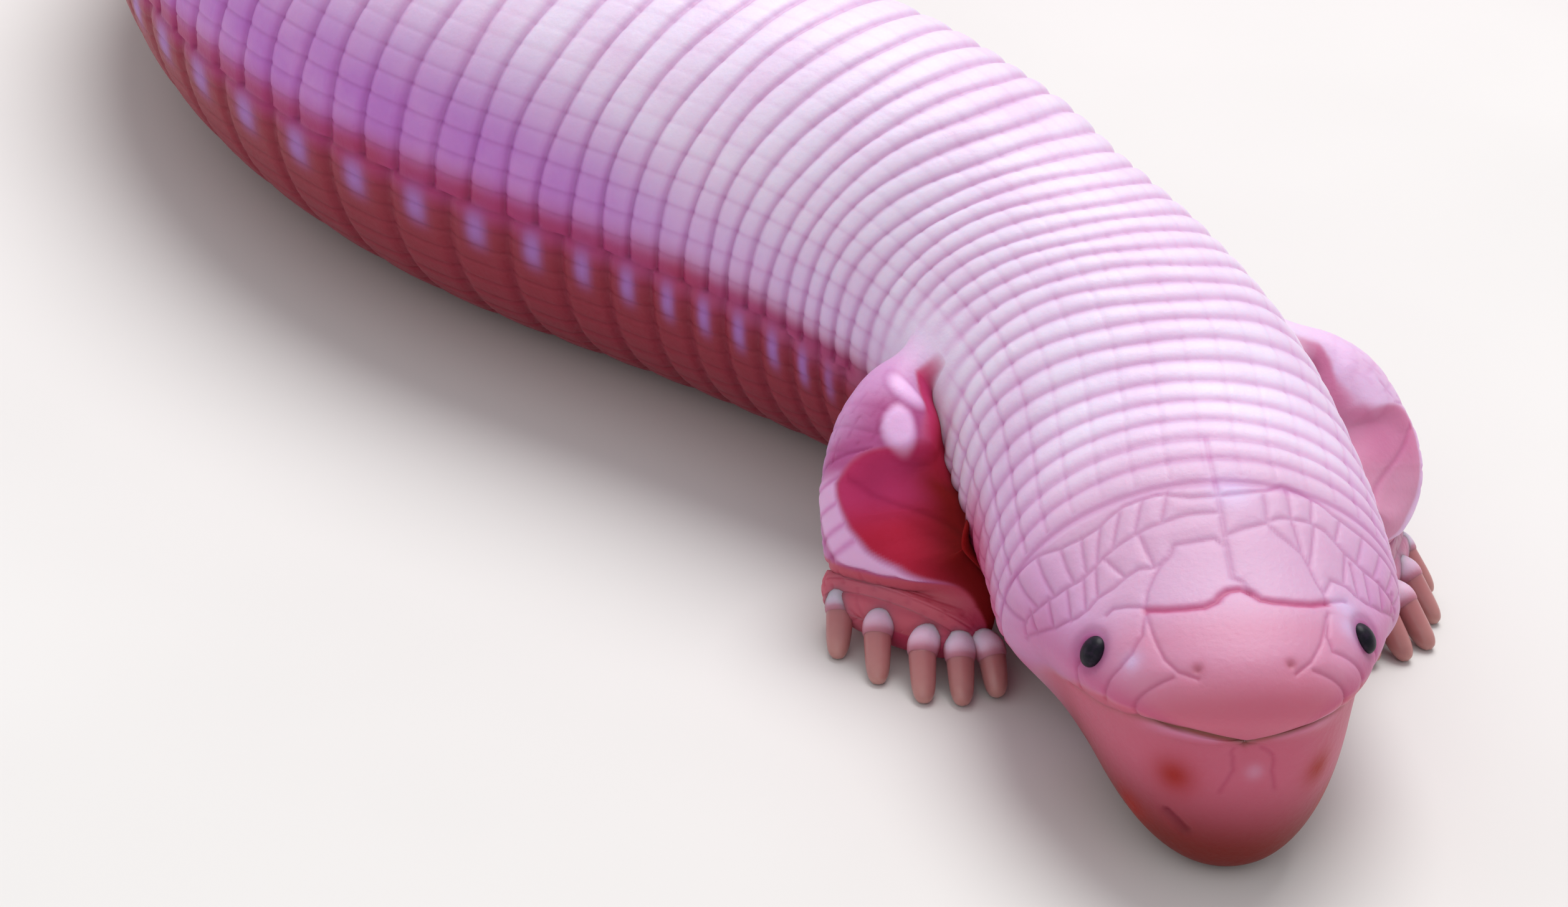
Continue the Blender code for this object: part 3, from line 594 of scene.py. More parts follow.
def limb_marks(turn, boldness):
    """Relief of the limb and the marks for its colours; boldness deepens its hollow and beads."""
    at = arm_s[:, None] + 0 * turn
    round_by = (np.degrees(turn) + 90) % 360 - 90
    degree = np.radians(1) * (arm_size.mean(1)[:, None] + 0.1)
    inside = (np.interp(at, HOLLOW_AT, HOLLOW_EDGE) - round_by) * degree
    from_hand = np.interp(round_by % 360, HAND_ROUND, HAND_FROM) - at
    soft_edge = np.interp(at, (1.2, 1.7, 2.1, 2.5), (.14, .36, .24, .09))
    hollow = (ramp(inside, -0.3 * soft_edge, soft_edge) * ramp(round_by, -85, -60)
              * ramp(at, .42, .62) * ramp(at, 4.75, 4.45))
    depth = (ramp(inside, -0.02, 0.75) * ramp(round_by, -40, 20) * ramp(at, .9, 2.0)
             * ramp(at, 4.5, 3.7))
    front_face = ramp(round_by, 46, 66) * ramp(round_by, 215, 190)
    # the pale ridge lies between the hollow and the hand, and widens into scales on the outer side
    strip = ramp(inside, .04, -.05) * ramp(from_hand, .0, .07) * front_face * ramp(at, 2.2, 2.5)
    strip *= ramp(inside, -.75, -.45)
    seam = np.full(at.shape, FAR_OFF)
    on_ridge = (round_by > 92) & (round_by < 195) & (inside < -.02)
    for mark in RIDGE_SEAMS:
        gap = np.abs(at - mark - (round_by - 140) * degree * .22)
        seam = np.where(on_ridge, np.minimum(seam, gap), seam)
    bead_up, bead_rim = np.zeros(at.shape), np.zeros(at.shape)
    for middle, degrees_round, long, wide, lean in BEADS:
        down, across = at - middle, (round_by - degrees_round) * degree
        c, q = math.cos(math.radians(lean)), math.sin(math.radians(lean))
        r = np.hypot((down * c + across * q) / long, (across * c - down * q) / wide)
        bead_up = np.maximum(bead_up, boldness * ramp(r, 1.2, 0.5))
        bead_rim = np.maximum(bead_rim, boldness * bump_at(r - 1.15, .16))
    # rows of small scales on the outer side and the back of the arm
    plain = ((1 - hollow) * (1 - strip) * ramp(at, .75, 1.3) * (1 - bead_up)
             * ramp(inside, -.15, -.5))
    row = at / ARM_SCALE + 0.12 * np.sin(turn * 3)
    row_gap = np.abs(row - np.round(row)) * ARM_SCALE
    cell = round_by / ARM_SCALE_TURN + 0.5 * (np.floor(row + .5) % 2)
    cell_gap = np.abs(cell - np.round(cell)) * ARM_SCALE_TURN * degree
    skin_gap = np.minimum(row_gap, cell_gap)
    crease = np.abs(at - (2.44 + (105 - round_by) * .0105)) * .8
    crease = np.where((round_by > 22) & (round_by < 112), crease, FAR_OFF)
    on_hand = ramp(from_hand, .03, -.05)
    lift = (-0.30 * depth * (.25 + .75 * boldness) + 0.050 * strip + 0.055 * bead_up
            - 0.018 * bump_at(seam, .03) - 0.014 * plain * bump_at(skin_gap, .035)
            - 0.022 * bump_at(crease, .05))
    return lift, {
        # the hollow's crimson is red skin, partly darkened as painted shade
        "limb": ramp(at, -.2, .8), "hollow": hollow * (1 - bead_up),
        "flush": hollow * ramp(at, 3.2, 2.6) * ramp(round_by, 20, 62) * (1 - bead_up),
        # painted shade: the darkest red in the hollow, on its side towards the neck
        "deep": hollow * ramp(round_by, 76, 30) * ramp(at, 1.5, 2.4) * (1 - bead_up),
        # painted shade along the arm's edge towards the neck and on the hand's side towards it
        "pit": np.maximum(bump_at(round_by - 8, 45) * ramp(at, 2.0, 1.2) * .6,
                          bump_at(round_by - 45, 42) * ramp(at, 1.05, .7) * .3)
        + on_hand * ramp(round_by, 66, 22) * ramp(at, 3.4, 3.7) * .75,
        "blush": (ramp(inside, -1.8, -.45) * ramp(round_by, 172, 132) * ramp(at, .9, 1.4)
                  * (1 - bead_up) * (1 - hollow)),
        # the ridge and beads are pale, partly a painted highlight on these raised scales
        "ridge": np.clip(strip * .9 + bead_up, 0, 1), "hand": on_hand * (1 - strip),
        "furrow": np.clip(0.8 * bump_at(seam, .04) + 0.3 * plain * bump_at(skin_gap, .04)
                          + 0.4 * bump_at(crease, .05) + 0.35 * bead_rim, 0, 1)}


def limb_grid(phase, boldness):
    """The arm's net: an angle round it for each column, shared out evenly towards the hand."""
    even = (phase[0] + np.arange(len(phase)) * 2 * math.pi / len(phase)
            * np.sign(phase[1] - phase[0]))
    even += (phase - even).mean()
    turn = phase + (even - phase) * ramp(np.arange(len(arm_line)), 0, 40)[:, None]
    c = np.cos(turn)
    across = (arm_size[:, :1] * c + web_in[:, None] * np.maximum(c, 0) ** 1.5
              - web_out[:, None] * np.maximum(-c, 0) ** 1.5)
    out = (arm_line[:, None] + arm_a[:, None] * across[..., None]
           + arm_b[:, None] * (arm_size[:, 1:] * np.sin(turn))[..., None])
    out = above_floor(out)
    out[WRIST_ROW:ARM_ROWS] = soften(out, 4, 0)[WRIST_ROW:ARM_ROWS]
    lift, limb_mark = limb_marks(turn, boldness)
    lift *= ramp(arm_s, .55, .9)[:, None]
    return above_floor(out + outward(out) * lift[..., None]), limb_mark


limbs, smooth_skin = [], np.ones(front.shape[:2])
for side in (1, -1):
    start_point = limb_side(arm_line[0], side)
    start_d = limb_side(arm_line[0] + arm_d[0], side) - start_point
    reachable = np.linalg.norm(front - (start_point - start_d * 0.25), axis=-1)
    i0, j0 = np.unravel_index(reachable.argmin(), reachable.shape)
    # the rings fade out over the shoulder, and it swells a little above the arm
    shoulder_gap = np.linalg.norm(front - front[i0, j0], axis=-1)
    near = ramp(shoulder_gap, 0.70, 1.4)
    smooth_skin *= near
    swell = 0.07 * bump_at(shoulder_gap, 1.0)
    front_skin -= front_normal * (relief * (1 - near) - swell)[..., None]
    i = np.array([i0 - HOLE_ROWS] * (2 * HOLE_COLUMNS)
                 + list(range(i0 - HOLE_ROWS, i0 + HOLE_ROWS))
                 + [i0 + HOLE_ROWS] * (2 * HOLE_COLUMNS)
                 + list(range(i0 + HOLE_ROWS, i0 - HOLE_ROWS, -1)))
    j = np.array(list(range(j0 - HOLE_COLUMNS, j0 + HOLE_COLUMNS))
                 + [j0 + HOLE_COLUMNS] * (2 * HOLE_ROWS)
                 + list(range(j0 + HOLE_COLUMNS, j0 - HOLE_COLUMNS, -1))
                 + [j0 - HOLE_COLUMNS] * (2 * HOLE_ROWS))
    # the limb has twice as many columns as there are points round the opening
    rim, rim_normal = front_skin[i, j], front_normal[i, j]
    rim = np.stack([rim, (rim + np.roll(rim, -1, 0)) / 2], 1).reshape(-1, 3)
    rim_normal = np.repeat(rim_normal, 2, 0)
    axes = [limb_side(arm_line[0] + x[0], side) - start_point for x in (arm_a, arm_b)]
    offset = rim - start_point
    phase = np.unwrap(np.arctan2(offset @ axes[1], offset @ axes[0]))
    grid, limb_mark = limb_grid(phase, 1 if side == 1 else LEFT_BOLDNESS)
    grid = limb_side(grid, side)
    inward = front[i0, j0] - rim
    inward -= rim_normal * np.sum(inward * rim_normal, -1, keepdims=True)
    size = np.linalg.norm(grid[0] - rim, axis=-1, keepdims=True)
    t = np.linspace(0, 1, SHOULDER_ROWS + 1)[1:-1, None, None]
    t0 = unit(inward) * size * 0.7
    t1 = unit(grid[2] - grid[0]) * size * 0.7
    shoulder = ((2 * t ** 3 - 3 * t ** 2 + 1) * rim + (t ** 3 - 2 * t ** 2 + t) * t0
                + (3 * t ** 2 - 2 * t ** 3) * grid[0] + (t ** 3 - t ** 2) * t1)
    limbs.append((side, np.concatenate([shoulder, grid]), limb_mark, (i0, j0, i, j)))


def oval_rings(line, across, breadth, thickness, sides):
    """Oval rings of points round a line, and the way that it runs."""
    d, a, b = axes_along(line, across)
    turn = np.arange(sides) * 2 * math.pi / sides
    return (line[:, None] + a[:, None] * breadth[:, None, None] * np.cos(turn)[:, None]
            + b[:, None] * thickness[:, None, None] * np.sin(turn)[:, None]), d


def toe(points, across, sizes, sides=26, steps=9):
    """Net of a blunt toe along three points, closed at its end by a round cap."""
    points, across = np.array(points), unit(across)
    length = length_along(points)
    at = np.linspace(0, length[-1], 16)
    line = np.stack([np.interp(at, length, points[:, k]) for k in range(3)], -1)
    line = soften(line[:, None], 2, 0)[:, 0]
    radius = np.stack([np.interp(at, length, [s[k] for s in sizes]) for k in range(2)], -1)
    d = unit(line[-1] - line[-3])
    cap = np.linspace(0, 1, steps)[1:-1, None]
    line = np.concatenate([line, line[-1] + d * np.sin(cap * math.pi / 2) * radius[-1, 0] * .6])
    radius = np.concatenate([radius, radius[-1] * np.cos(cap * math.pi / 2)])
    out, d = oval_rings(line, across, *radius.T, sides)
    return out, line[-1] + d[-1] * radius[-1, 0] * .1


toes, claw_lines = [], []
for side in (1, -1):
    for offset, front_by, slant, claw in DIGITS:
        d = unit(forward * .8 + right * slant + DOWN * .62)
        root = palm_middle + hand_across * max(-.95, min(1.0, offset)) - DOWN * .68
        knuckle = palm_middle + hand_across * offset + hand_forward * front_by - DOWN * .60
        tip = knuckle + d * .16
        across = np.cross(d, DOWN)
        grid, end = toe([root, knuckle, tip], across, TOE_SIZES)
        toes.append((side, limb_side(grid, side), limb_side(end, side)))
        claw_lines.append((side, tip, d, across, claw))

# One skin covers head, trunk, tail, arms and toes: soft damp hide, drawn as one net of small
# squares with the marks of each zone kept beside its points for the colours.
n_front, n_rear = len(angles), len(rear_angles)
front_rows, rear_rows = len(front_skin), len(rear_skin)
on_head = 1 - ramp(row_s, -2.6, -0.6)[:, None]
station_of = np.concatenate([stations, 9 + fine_s + 0.6])[:, None]
lip_from = np.interp(row_s, (-5, -4.2, -3, -1), (-16, -3, 12, 22))[:, None]
below_mouth = ramp(-folded, lip_from - 4, lip_from + 4)
# painted shade: the jaw darker towards its bottom, where it turns under
painted_chin_shade = ramp(front[..., 2], 2.1, 0.5) * below_mouth
# soft round spots on the head as (station, angle, radius)
BLOTCHES = ((2.50, -49, .33), (2.90, 225, .28), (4.6, -52, .30), (4.6, 232, .3))
CHIN_SPOT = (1.62, 261.5, .13)
# painted highlights as soft pale spots on the head
PAINTED_HIGHLIGHT_SPOTS = ((5.85, 136.5, .24), (5.30, 140, .22), (4.55, 41, .16), (8.1, 96, .34))


def round_spots(spots):
    """Soft round spots on the head, 1 in the middle of each."""
    out = np.zeros(front.shape[:2])
    for station, angle, radius in spots:
        gap = np.linalg.norm(head_part - head_at(station, angle), axis=-1)
        out[:len(head_part)] = np.maximum(out[:len(head_part)], bump_at(gap, radius))
    return out


def flank_spots(folded, fold_angle, s):
    """Pale spots under the fold, one on each of the broad rings."""
    k = np.clip(np.searchsorted(belly_rings, s), 1, len(belly_rings) - 1)
    across = (s - belly_rings[k - 1]) / (belly_rings[k] - belly_rings[k - 1]) - 0.5
    down = (folded - fold_angle + 8.5) / 5.5
    return np.exp(-np.abs(across / 0.17) ** 2.6 - np.abs(down) ** 2.8) * ramp(s, 7.4, 8.6)


# the skin under and before each shoulder is painted dark red: its red skin, darkened as painted
# shade in the armpit, up to this many degrees above the side
armpit_top = np.interp(along, (-1.5, -.2, .6, 2, 3.2, 3.8, 4.4, 5.0, 5.8),
                       (-8, -2, 0, -3, -3, 0, 5, 10, 12))
armpit = (ramp(armpit_top - folded, -5, 6) * ramp(folded, -70, -40) * ramp(along, 0.2, 1.6)
          * ramp(along, 6.0, 5.2))
# the lower edge of the head and neck is painted deep red: red skin, darkened as painted shade where
# the side turns under
edge_at = np.interp(along, (-3, -2.5, -1.5, -1.2, -.9, -.2, .6, 2),
                    (-50, -35, -25, -15, -6, -3, 0, -3))
red_shaded_edge = (ramp(edge_at - folded, -20, -1) * ramp(along, -3.8, -2.6) * ramp(along, 2.4, 1.2)
            * (1 - below_mouth))


def violet(folded, s):
    """The violet of the flank, its own colour together with painted side light, climbs higher up
    the side, and grows stronger, behind the neck.
    """
    top = np.interp(s, (8, 12, 14, 17, 20), (30, 34, 44, 56, 62))
    strength = np.interp(s, (4, 8, 10, 12, 14, 16), (0, .3, .45, .65, .9, 1))
    return ramp(-folded, -top, -0.2 * top) * strength


# the lines between the scales of a ring show more on the flanks, and on the sides of the neck
on_flank = 0.09 + 0.20 * ramp(-folded, -50, -15)
on_flank = on_flank + 0.17 * ramp(along, 7, 4) * ramp(-folded, -66, -34)
rear_flank = 0.09 + 0.20 * ramp(-rear_folded, -50, -15)
# every colour mark, on the finer net in front and on the coarser one behind it
zones = {
    "furrow": (np.clip(bump_at(ring_gap, .090) * 0.64 + bump_at(cross_gap, .050) * on_flank
                       + bump_at(shield, .042) * 0.48 + bump_at(chin_seam, .04) * 0.5
                       + bump_at(throat_fold, .10), 0, 1) * smooth_skin ** .4,
               np.clip(bump_at(rear_ring, .095) * 0.64
                       + bump_at(rear_cross, .060) * rear_flank, 0, 1)),
    "flank": (violet(folded, along), violet(rear_folded, rear_at)),
    # the underside below the fold: its own dark red, deepened as painted shade under the body
    "belly": (ramp(fold_angle - folded, -5, 7) * (1 - on_head), ramp(-rear_folded, 0, 10)),
    "fold": (bump_at(fold_gap, .34) * fold_on, rear_fold),
    "spot": (flank_spots(folded, fold_angle, along),
             flank_spots(rear_folded, fold_angle[-1, 0], rear_at)),
    "head": (1 - ramp(row_s, -2.0, 0.7)[:, None], 0),
    "snout": ((1 - ramp(station_of, 4.9, 6.2)) * on_head, 0),
    "muzzle": ((1 - ramp(station_of, 2.6, 4.6)) * on_head, 0),
    "temple": (ramp(-folded, -58, -22) * ramp(along, -4.6, -2.4) * ramp(along, 3.6, 0.6)
               * (1 - below_mouth), 0),
    "cheek": (ramp(-folded, -38, -4) * on_head * (1 - below_mouth), 0),
    "jaw": (below_mouth * on_head, 0),
    "chin": (painted_chin_shade * on_head, 0),
    "seam": (bump_at(snout_seam, .075), 0),
    "lip": (bump_at(mouth, .055) * mouth_on, 0),
    # a painted highlight: a lilac band just under the mouth
    "lip_glow": (ramp(-folded, lip_from, lip_from + 5) * ramp(-folded, lip_from + 34, lip_from + 8)
                 * ramp(station_of, .5, 1.2) * ramp(station_of, 3.6, 2.4), 0),
    "halo": (bump_at(eye_gap - .16, .19) * (eye_gap < 3), 0),
    "nostril": (bump_at(nostril_gap, .11), 0),
    "blotch": (round_spots(BLOTCHES), 0), "chin_spot": (round_spots((CHIN_SPOT,)), 0),
    # painted highlights on the head, and painted shade in the armpit
    "pale": (round_spots(PAINTED_HIGHLIGHT_SPOTS), 0), "pit": (armpit, 0),
    "limb": (0, 0), "hollow": (0, 0), "flush": (0, 0), "rim": (red_shaded_edge, 0),
    **{key: (0, 0) for key in ("deep", "blush", "ridge", "hand", "knuckle", "toe")},
}
marks = {key: [np.concatenate([(a + np.zeros(front.shape[:2])).ravel(),
                               (b + np.zeros(rear.shape[:2])).ravel(), [0, 0]])]
         for key, (a, b) in zones.items()}
patches = [np.concatenate([front_skin.reshape(-1, 3), rear_skin.reshape(-1, 3), tail_tip[None],
                           front_skin[0].mean(0)[None]])]


def net(rows, columns, start=0):
    """Faces of a grid that closes round its columns."""
    i = np.arange(rows - 1)[:, None] * columns
    j = np.arange(columns)[None, :]
    k = (j + 1) % columns
    return start + np.stack([i + j, i + columns + j, i + columns + k, i + k], -1).reshape(-1, 4)


def widen(coarse, fine):
    """Triangles between a ring of points and one with twice as many."""
    a, b, c = coarse, fine[0::2], fine[1::2]
    d, e = np.roll(coarse, -1), np.roll(b, -1)
    return [np.stack([a, b, c], -1), np.stack([a, c, d], -1), np.stack([d, c, e], -1)]


def capped(rows, columns):
    """Faces of a net closed over both ends by the two points that follow its own."""
    count, j = rows * columns, np.arange(columns)
    k, last = (j + 1) % columns, count - columns
    return [net(rows, columns)], [np.stack([k, j, 0 * j + count], -1),
                                  np.stack([last + j, last + k, 0 * j + count + 1], -1)]


def add_tube(grid, end, start):
    """Adds an arm's or toe's net, closed over its end point; returns where the next one starts."""
    rows, columns = grid.shape[:2]
    patches.extend([grid.reshape(-1, 3), end[None]])
    squares.append(net(rows, columns, start))
    ring, tip = start + (rows - 1) * columns + np.arange(columns), start + rows * columns
    triangles.append(np.stack([ring, 0 * ring + tip, np.roll(ring, -1)], -1))
    return tip + 1


rear_start = front_rows * n_front
front_net = net(front_rows, n_front).reshape(front_rows - 1, n_front, 4)
kept = np.ones((front_rows - 1, n_front), bool)
for side, grid, limb_mark, (i0, j0, i, j) in limbs:
    kept[i0 - HOLE_ROWS:i0 + HOLE_ROWS, j0 - HOLE_COLUMNS:j0 + HOLE_COLUMNS] = False
squares = [front_net[kept], net(rear_rows, n_rear, rear_start)]
edge = (front_rows - 1) * n_front + np.arange(n_front)
triangles = widen(rear_start + np.arange(n_rear), edge)
tip = rear_start + rear_rows * n_rear
ring_end = rear_start + (rear_rows - 1) * n_rear
j = np.arange(n_rear)
triangles.append(np.stack([ring_end + (j + 1) % n_rear, ring_end + j, 0 * j + tip], -1))
j = np.arange(n_front)
triangles.append(np.stack([j, (j + 1) % n_front, 0 * j + tip + 1], -1))
start = tip + 2
for side, grid, limb_mark, (i0, j0, i, j) in limbs:
    count = grid.shape[1]
    triangles += widen(i * n_front + j, start + np.arange(count))
    start = add_tube(grid, grid[-1].mean(0), start)
    t = np.linspace(0, 1, SHOULDER_ROWS + 1)[1:-1, None]
    # the left arm is painted paler than the right one: painted light, because behind the neck the
    # light comes from the other side
    if side == -1:
        painted_light_paler = {"hollow": .74, "flush": .85, "deep": .04, "pit": .1, "blush": .25, "limb": .35}
        limb_mark.update({key: limb_mark[key] * part for key, part in painted_light_paler.items()},
                         ridge=.36 + .50 * limb_mark["ridge"])
    for key, values in marks.items():
        at_rim = np.repeat(values[0][i * n_front + j], 2)
        own = limb_mark.get(key, at_rim.mean() * ramp(arm_s, 1.5, .6)[:, None] + np.zeros(count))
        values.append(np.concatenate([((1 - t) * at_rim + t * own[0]).ravel(), own.ravel(),
                                      [own[-1].mean()]]))
for side, grid, end in toes:
    start = add_tube(grid, end, start)
    tipward = np.append(np.repeat(np.linspace(0, 1, len(grid)), grid.shape[1]), 1)
    height = grid[..., 2] - grid[..., 2].mean(1, keepdims=True)
    # the tops of the knuckles are painted pale: a painted highlight where the light falls on them
    on_top = np.append(ramp(height, -.02, .16).ravel(), 0)
    for key, values in marks.items():
        values.append({"toe": ramp(tipward, .50, .72), "hand": 1 + 0 * tipward,
                       "knuckle": ramp(tipward, .22, .38) * ramp(tipward, .80, .60) * on_top,
                       "limb": 1 + 0 * tipward}.get(key, 0 * tipward))
points = np.concatenate(patches)
marks = {key: np.concatenate(values) for key, values in marks.items()}


def eye_centre(side):
    """Middle of the eyeball, just under the skin, and the way it looks."""
    u, v, z = head_surface(np.array(EYE[0], float), np.array(float(EYE[1])))
    spot = place(-u, side * v, z)
    out = place(-u, side * (v + 1), z + 0.7) - spot
    out /= np.linalg.norm(out)
    return spot - out * EYE_UNDER, out


# the solids stand with their box over the origin; the right eye shows how far they were moved
shift = np.array(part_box("eye_right")).sum(0) / 2 * 1000 - eye_centre(1)[0]


def mesh_object(name, points, squares, triangles, marks=None, softer=()):
    """An object from points in millimetres of the body's own frame, its faces turned outward."""
    mesh = bpy.data.meshes.new(name)
    n4, n3 = sum(len(s) for s in squares), sum(len(t) for t in triangles)
    corners = np.concatenate([s.ravel() for s in squares] + [t.ravel() for t in triangles])
    mesh.vertices.add(len(points))
    mesh.vertices.foreach_set("co", ((points + shift) / 1000).ravel())
    mesh.loops.add(len(corners))
    mesh.loops.foreach_set("vertex_index", corners.astype(np.int32))
    mesh.polygons.add(n4 + n3)
    starts = np.concatenate([np.arange(n4) * 4, n4 * 4 + np.arange(n3) * 3])
    mesh.polygons.foreach_set("loop_start", starts.astype(np.int32))
    mesh.update(calc_edges=True)
    for key, values in (marks or {}).items():
        mesh.attributes.new(key, "FLOAT", "POINT").data.foreach_set(
            "value", values.astype(np.float32))
    mesh.validate()
    net_of = bmesh.new()
    net_of.from_mesh(mesh)
    bmesh.ops.recalc_face_normals(net_of, faces=net_of.faces)
    net_of.verts.ensure_lookup_table()
    for chosen, times in softer:
        chosen = [net_of.verts[k] for k in np.nonzero(chosen)[0].tolist()]
        for _ in range(times):
            bmesh.ops.smooth_vert(net_of, verts=chosen, factor=0.5, use_axis_x=True,
                                  use_axis_y=True, use_axis_z=True)
    net_of.to_mesh(mesh)
    net_of.free()
    mesh.polygons.foreach_set("use_smooth", np.ones(len(mesh.polygons), bool))
    obj = bpy.data.objects.new(name, mesh)
    bpy.context.scene.collection.objects.link(obj)
    return obj


used = np.zeros(len(points), bool)
for part in squares + triangles:
    used[part.ravel()] = True
number = np.cumsum(used) - 1
squares, triangles = [number[s] for s in squares], [number[s] for s in triangles]
marks = {key: values[used] for key, values in marks.items()}
opened = np.array([limb_side(place(*ARM[1][0]), side) for side in (1, -1)])
gap = np.linalg.norm(points[used][:, None] - opened, axis=-1).min(1)
hide = mesh_object("skin", points[used], squares, triangles, marks,
                   [(gap < 1.45, 6), (gap < 1.2, 10), (gap < 0.95, 24)])


def shader_parts(name):
    """A new material, its node maker and its wire maker."""
    mat = bpy.data.materials.new(name)
    mat.use_nodes = True
    tree = mat.node_tree

    def node(kind, **settings):
        made = tree.nodes.new(kind)
        for key, value in settings.items():
            setattr(made, key, value)
        return made

    return mat, node, tree.links.new, tree.nodes["Principled BSDF"]


mat, node, wire, shader = shader_parts("pink ringed skin")


def maths(operation, a, b):
    """One sum of two values, each a number or another node's output."""
    made = node("ShaderNodeMath", operation=operation)
    for slot, value in zip(made.inputs, (a, b)):
        if isinstance(value, (int, float)):
            slot.default_value = value
        else:
            wire(value, slot)
    return made.outputs[0]


def mark_of(name):
    """How strongly the skin is marked with one zone, from 0 to 1."""
    return node("ShaderNodeAttribute", attribute_name=name).outputs["Fac"]


def paint(under, colour, mark, strength=1.0):
    """Lays a colour over what is under it, where the mark says."""
    mix = node("ShaderNodeMix", data_type="RGBA", clamp_factor=True)
    source = mark_of(mark) if isinstance(mark, str) else mark
    if strength != 1.0:
        source = maths("MULTIPLY", source, strength)
    wire(source, mix.inputs[0])
    for slot, value in ((mix.inputs[6], under), (mix.inputs[7], colour)):
        if isinstance(value, tuple):
            slot.default_value = (*value, 1)
        else:
            wire(value, slot)
    return mix.outputs[2]


def noise(scale, detail=3.0, rough=0.5):
    """Soft mottling at this many spots a metre, in the model's own space."""
    where = node("ShaderNodeTexCoord")
    made = node("ShaderNodeTexNoise")
    made.inputs["Scale"].default_value = scale
    made.inputs["Detail"].default_value = detail
    made.inputs["Roughness"].default_value = rough
    wire(where.outputs["Object"], made.inputs["Vector"])
    return made.outputs["Fac"]


def stretch(value, low, high):
    """Spreads the values from low to high over 0 to 1."""
    made = node("ShaderNodeMapRange")
    made.inputs["From Min"].default_value = low
    made.inputs["From Max"].default_value = high
    wire(value, made.inputs["Value"])
    return made.outputs["Result"]


def coats(colour, *layers):
    """Lays one coat after another over a ground colour, each as (colour, mark, strength)."""
    for tone, mark, strength in layers:
        colour = paint(colour, tone, mark, strength)
    return colour


# the pale lilac of the back is the ground
mottle = stretch(noise(900), 0.42, 0.72)
colour = coats(
    (0.80, 0.70, 0.86),
    # violet of the flank: its own colour, with the violet side light painted in
    ((0.50, 0.19, 0.58), "flank", 1.0),
    ((0.70, 0.42, 0.68), mottle, 0.30),
    # underside: its own dark red, deepened as painted shade
    ((0.27, 0.026, 0.048), "belly", 1.0),
    ((0.60, 0.34, 0.52), "head", 0.9),
    ((0.62, 0.25, 0.38), "snout", 0.8),
    ((0.52, 0.09, 0.14), "muzzle", 0.75),
    ((0.48, 0.07, 0.18), "cheek", 0.8),
    ((0.58, 0.27, 0.55), "temple", 0.45),
    # painted highlights on the head
    ((0.64, 0.56, 0.84), "pale", 0.5),
    # red skin with painted shade on the lower edge of the head and neck
    ((0.52, 0.08, 0.20), "rim", 0.8),
    ((0.52, 0.11, 0.18), "jaw", 1.0),
    # painted shade low on the jaw
    ((0.20, 0.018, 0.014), "chin", 1.0),
    # painted highlight under the mouth
    ((0.60, 0.28, 0.48), "lip_glow", 0.5),
    ((0.34, 0.010, 0.004), "blotch", 0.95),
    ((0.62, 0.36, 0.52), "chin_spot", 0.4),
    ((0.58, 0.30, 0.55), "limb", 1.0),
    ((0.42, 0.07, 0.24), "blush", 0.9),
    ((0.50, 0.085, 0.11), "hand", 0.9),
    # painted shade in the armpit and along the arm's inner edge
    ((0.40, 0.02, 0.08), "pit", 0.95),
    # red hollow of the arm: red skin, partly darkened as painted shade
    ((0.48, 0.016, 0.055), "hollow", 1.0),
    ((0.50, 0.035, 0.14), "flush", 1.0),
    # painted shade in the hollow of the arm
    ((0.16, 0.000, 0.001), "deep", 1.0),
    # pale ridge and beads, lighter in part as a painted highlight on raised scales
    ((0.78, 0.50, 0.78), "ridge", 0.9),
    # painted highlight on the tops of the knuckles
    ((0.80, 0.60, 0.78), "knuckle", 0.85),
    ((0.46, 0.18, 0.24), "toe", 0.8))
fleck = maths("MULTIPLY", mark_of("fold"), stretch(noise(420, 2.0), 0.50, 0.68))
colour = coats(colour, ((0.36, 0.025, 0.13), "fold", 0.9), ((0.36, 0.02, 0.06), fleck, 0.5),
               ((0.40, 0.22, 0.64), "spot", 0.66))
# the furrows keep the hue of the skin they lie in, only deeper
deeper = node("ShaderNodeMix", data_type="RGBA", blend_type="MULTIPLY")
deeper.inputs[0].default_value = 1.0
wire(colour, deeper.inputs[6])
deeper.inputs[7].default_value = (0.82, 0.46, 0.70, 1)
colour = coats(colour, (deeper.outputs[2], "furrow", 0.9), ((0.50, 0.06, 0.20), "seam", 0.85),
               ((0.20, 0.075, 0.035), "lip", 0.85), ((0.30, 0.02, 0.16), "halo", 0.80),
               ((0.42, 0.06, 0.10), "nostril", 0.45))
wire(colour, shader.inputs["Base Color"])
shader.inputs["Subsurface Weight"].default_value = 0.55
shader.inputs["Subsurface Radius"].default_value = (1.0, 0.35, 0.45)
shader.inputs["Subsurface Scale"].default_value = 0.0005
wire(maths("ADD", 0.44, maths("MULTIPLY", mark_of("hollow"), 0.5)), shader.inputs["Roughness"])
shader.inputs["Specular IOR Level"].default_value = 0.26
fine = node("ShaderNodeBump")
fine.inputs["Strength"].default_value = 0.35
fine.inputs["Distance"].default_value = 0.00003
wire(noise(9000, 4.0), fine.inputs["Height"])
wire(fine.outputs["Normal"], shader.inputs["Normal"])
hide.data.materials.append(mat)
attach(hide, "root")
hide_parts("head", "neck", "tail", *["torso_%d" % (k + 1) for k in range(8)],
            *[part + "_" + word for part in ("upper_arm", "forearm", "hand")
              for word in ("right", "left")])

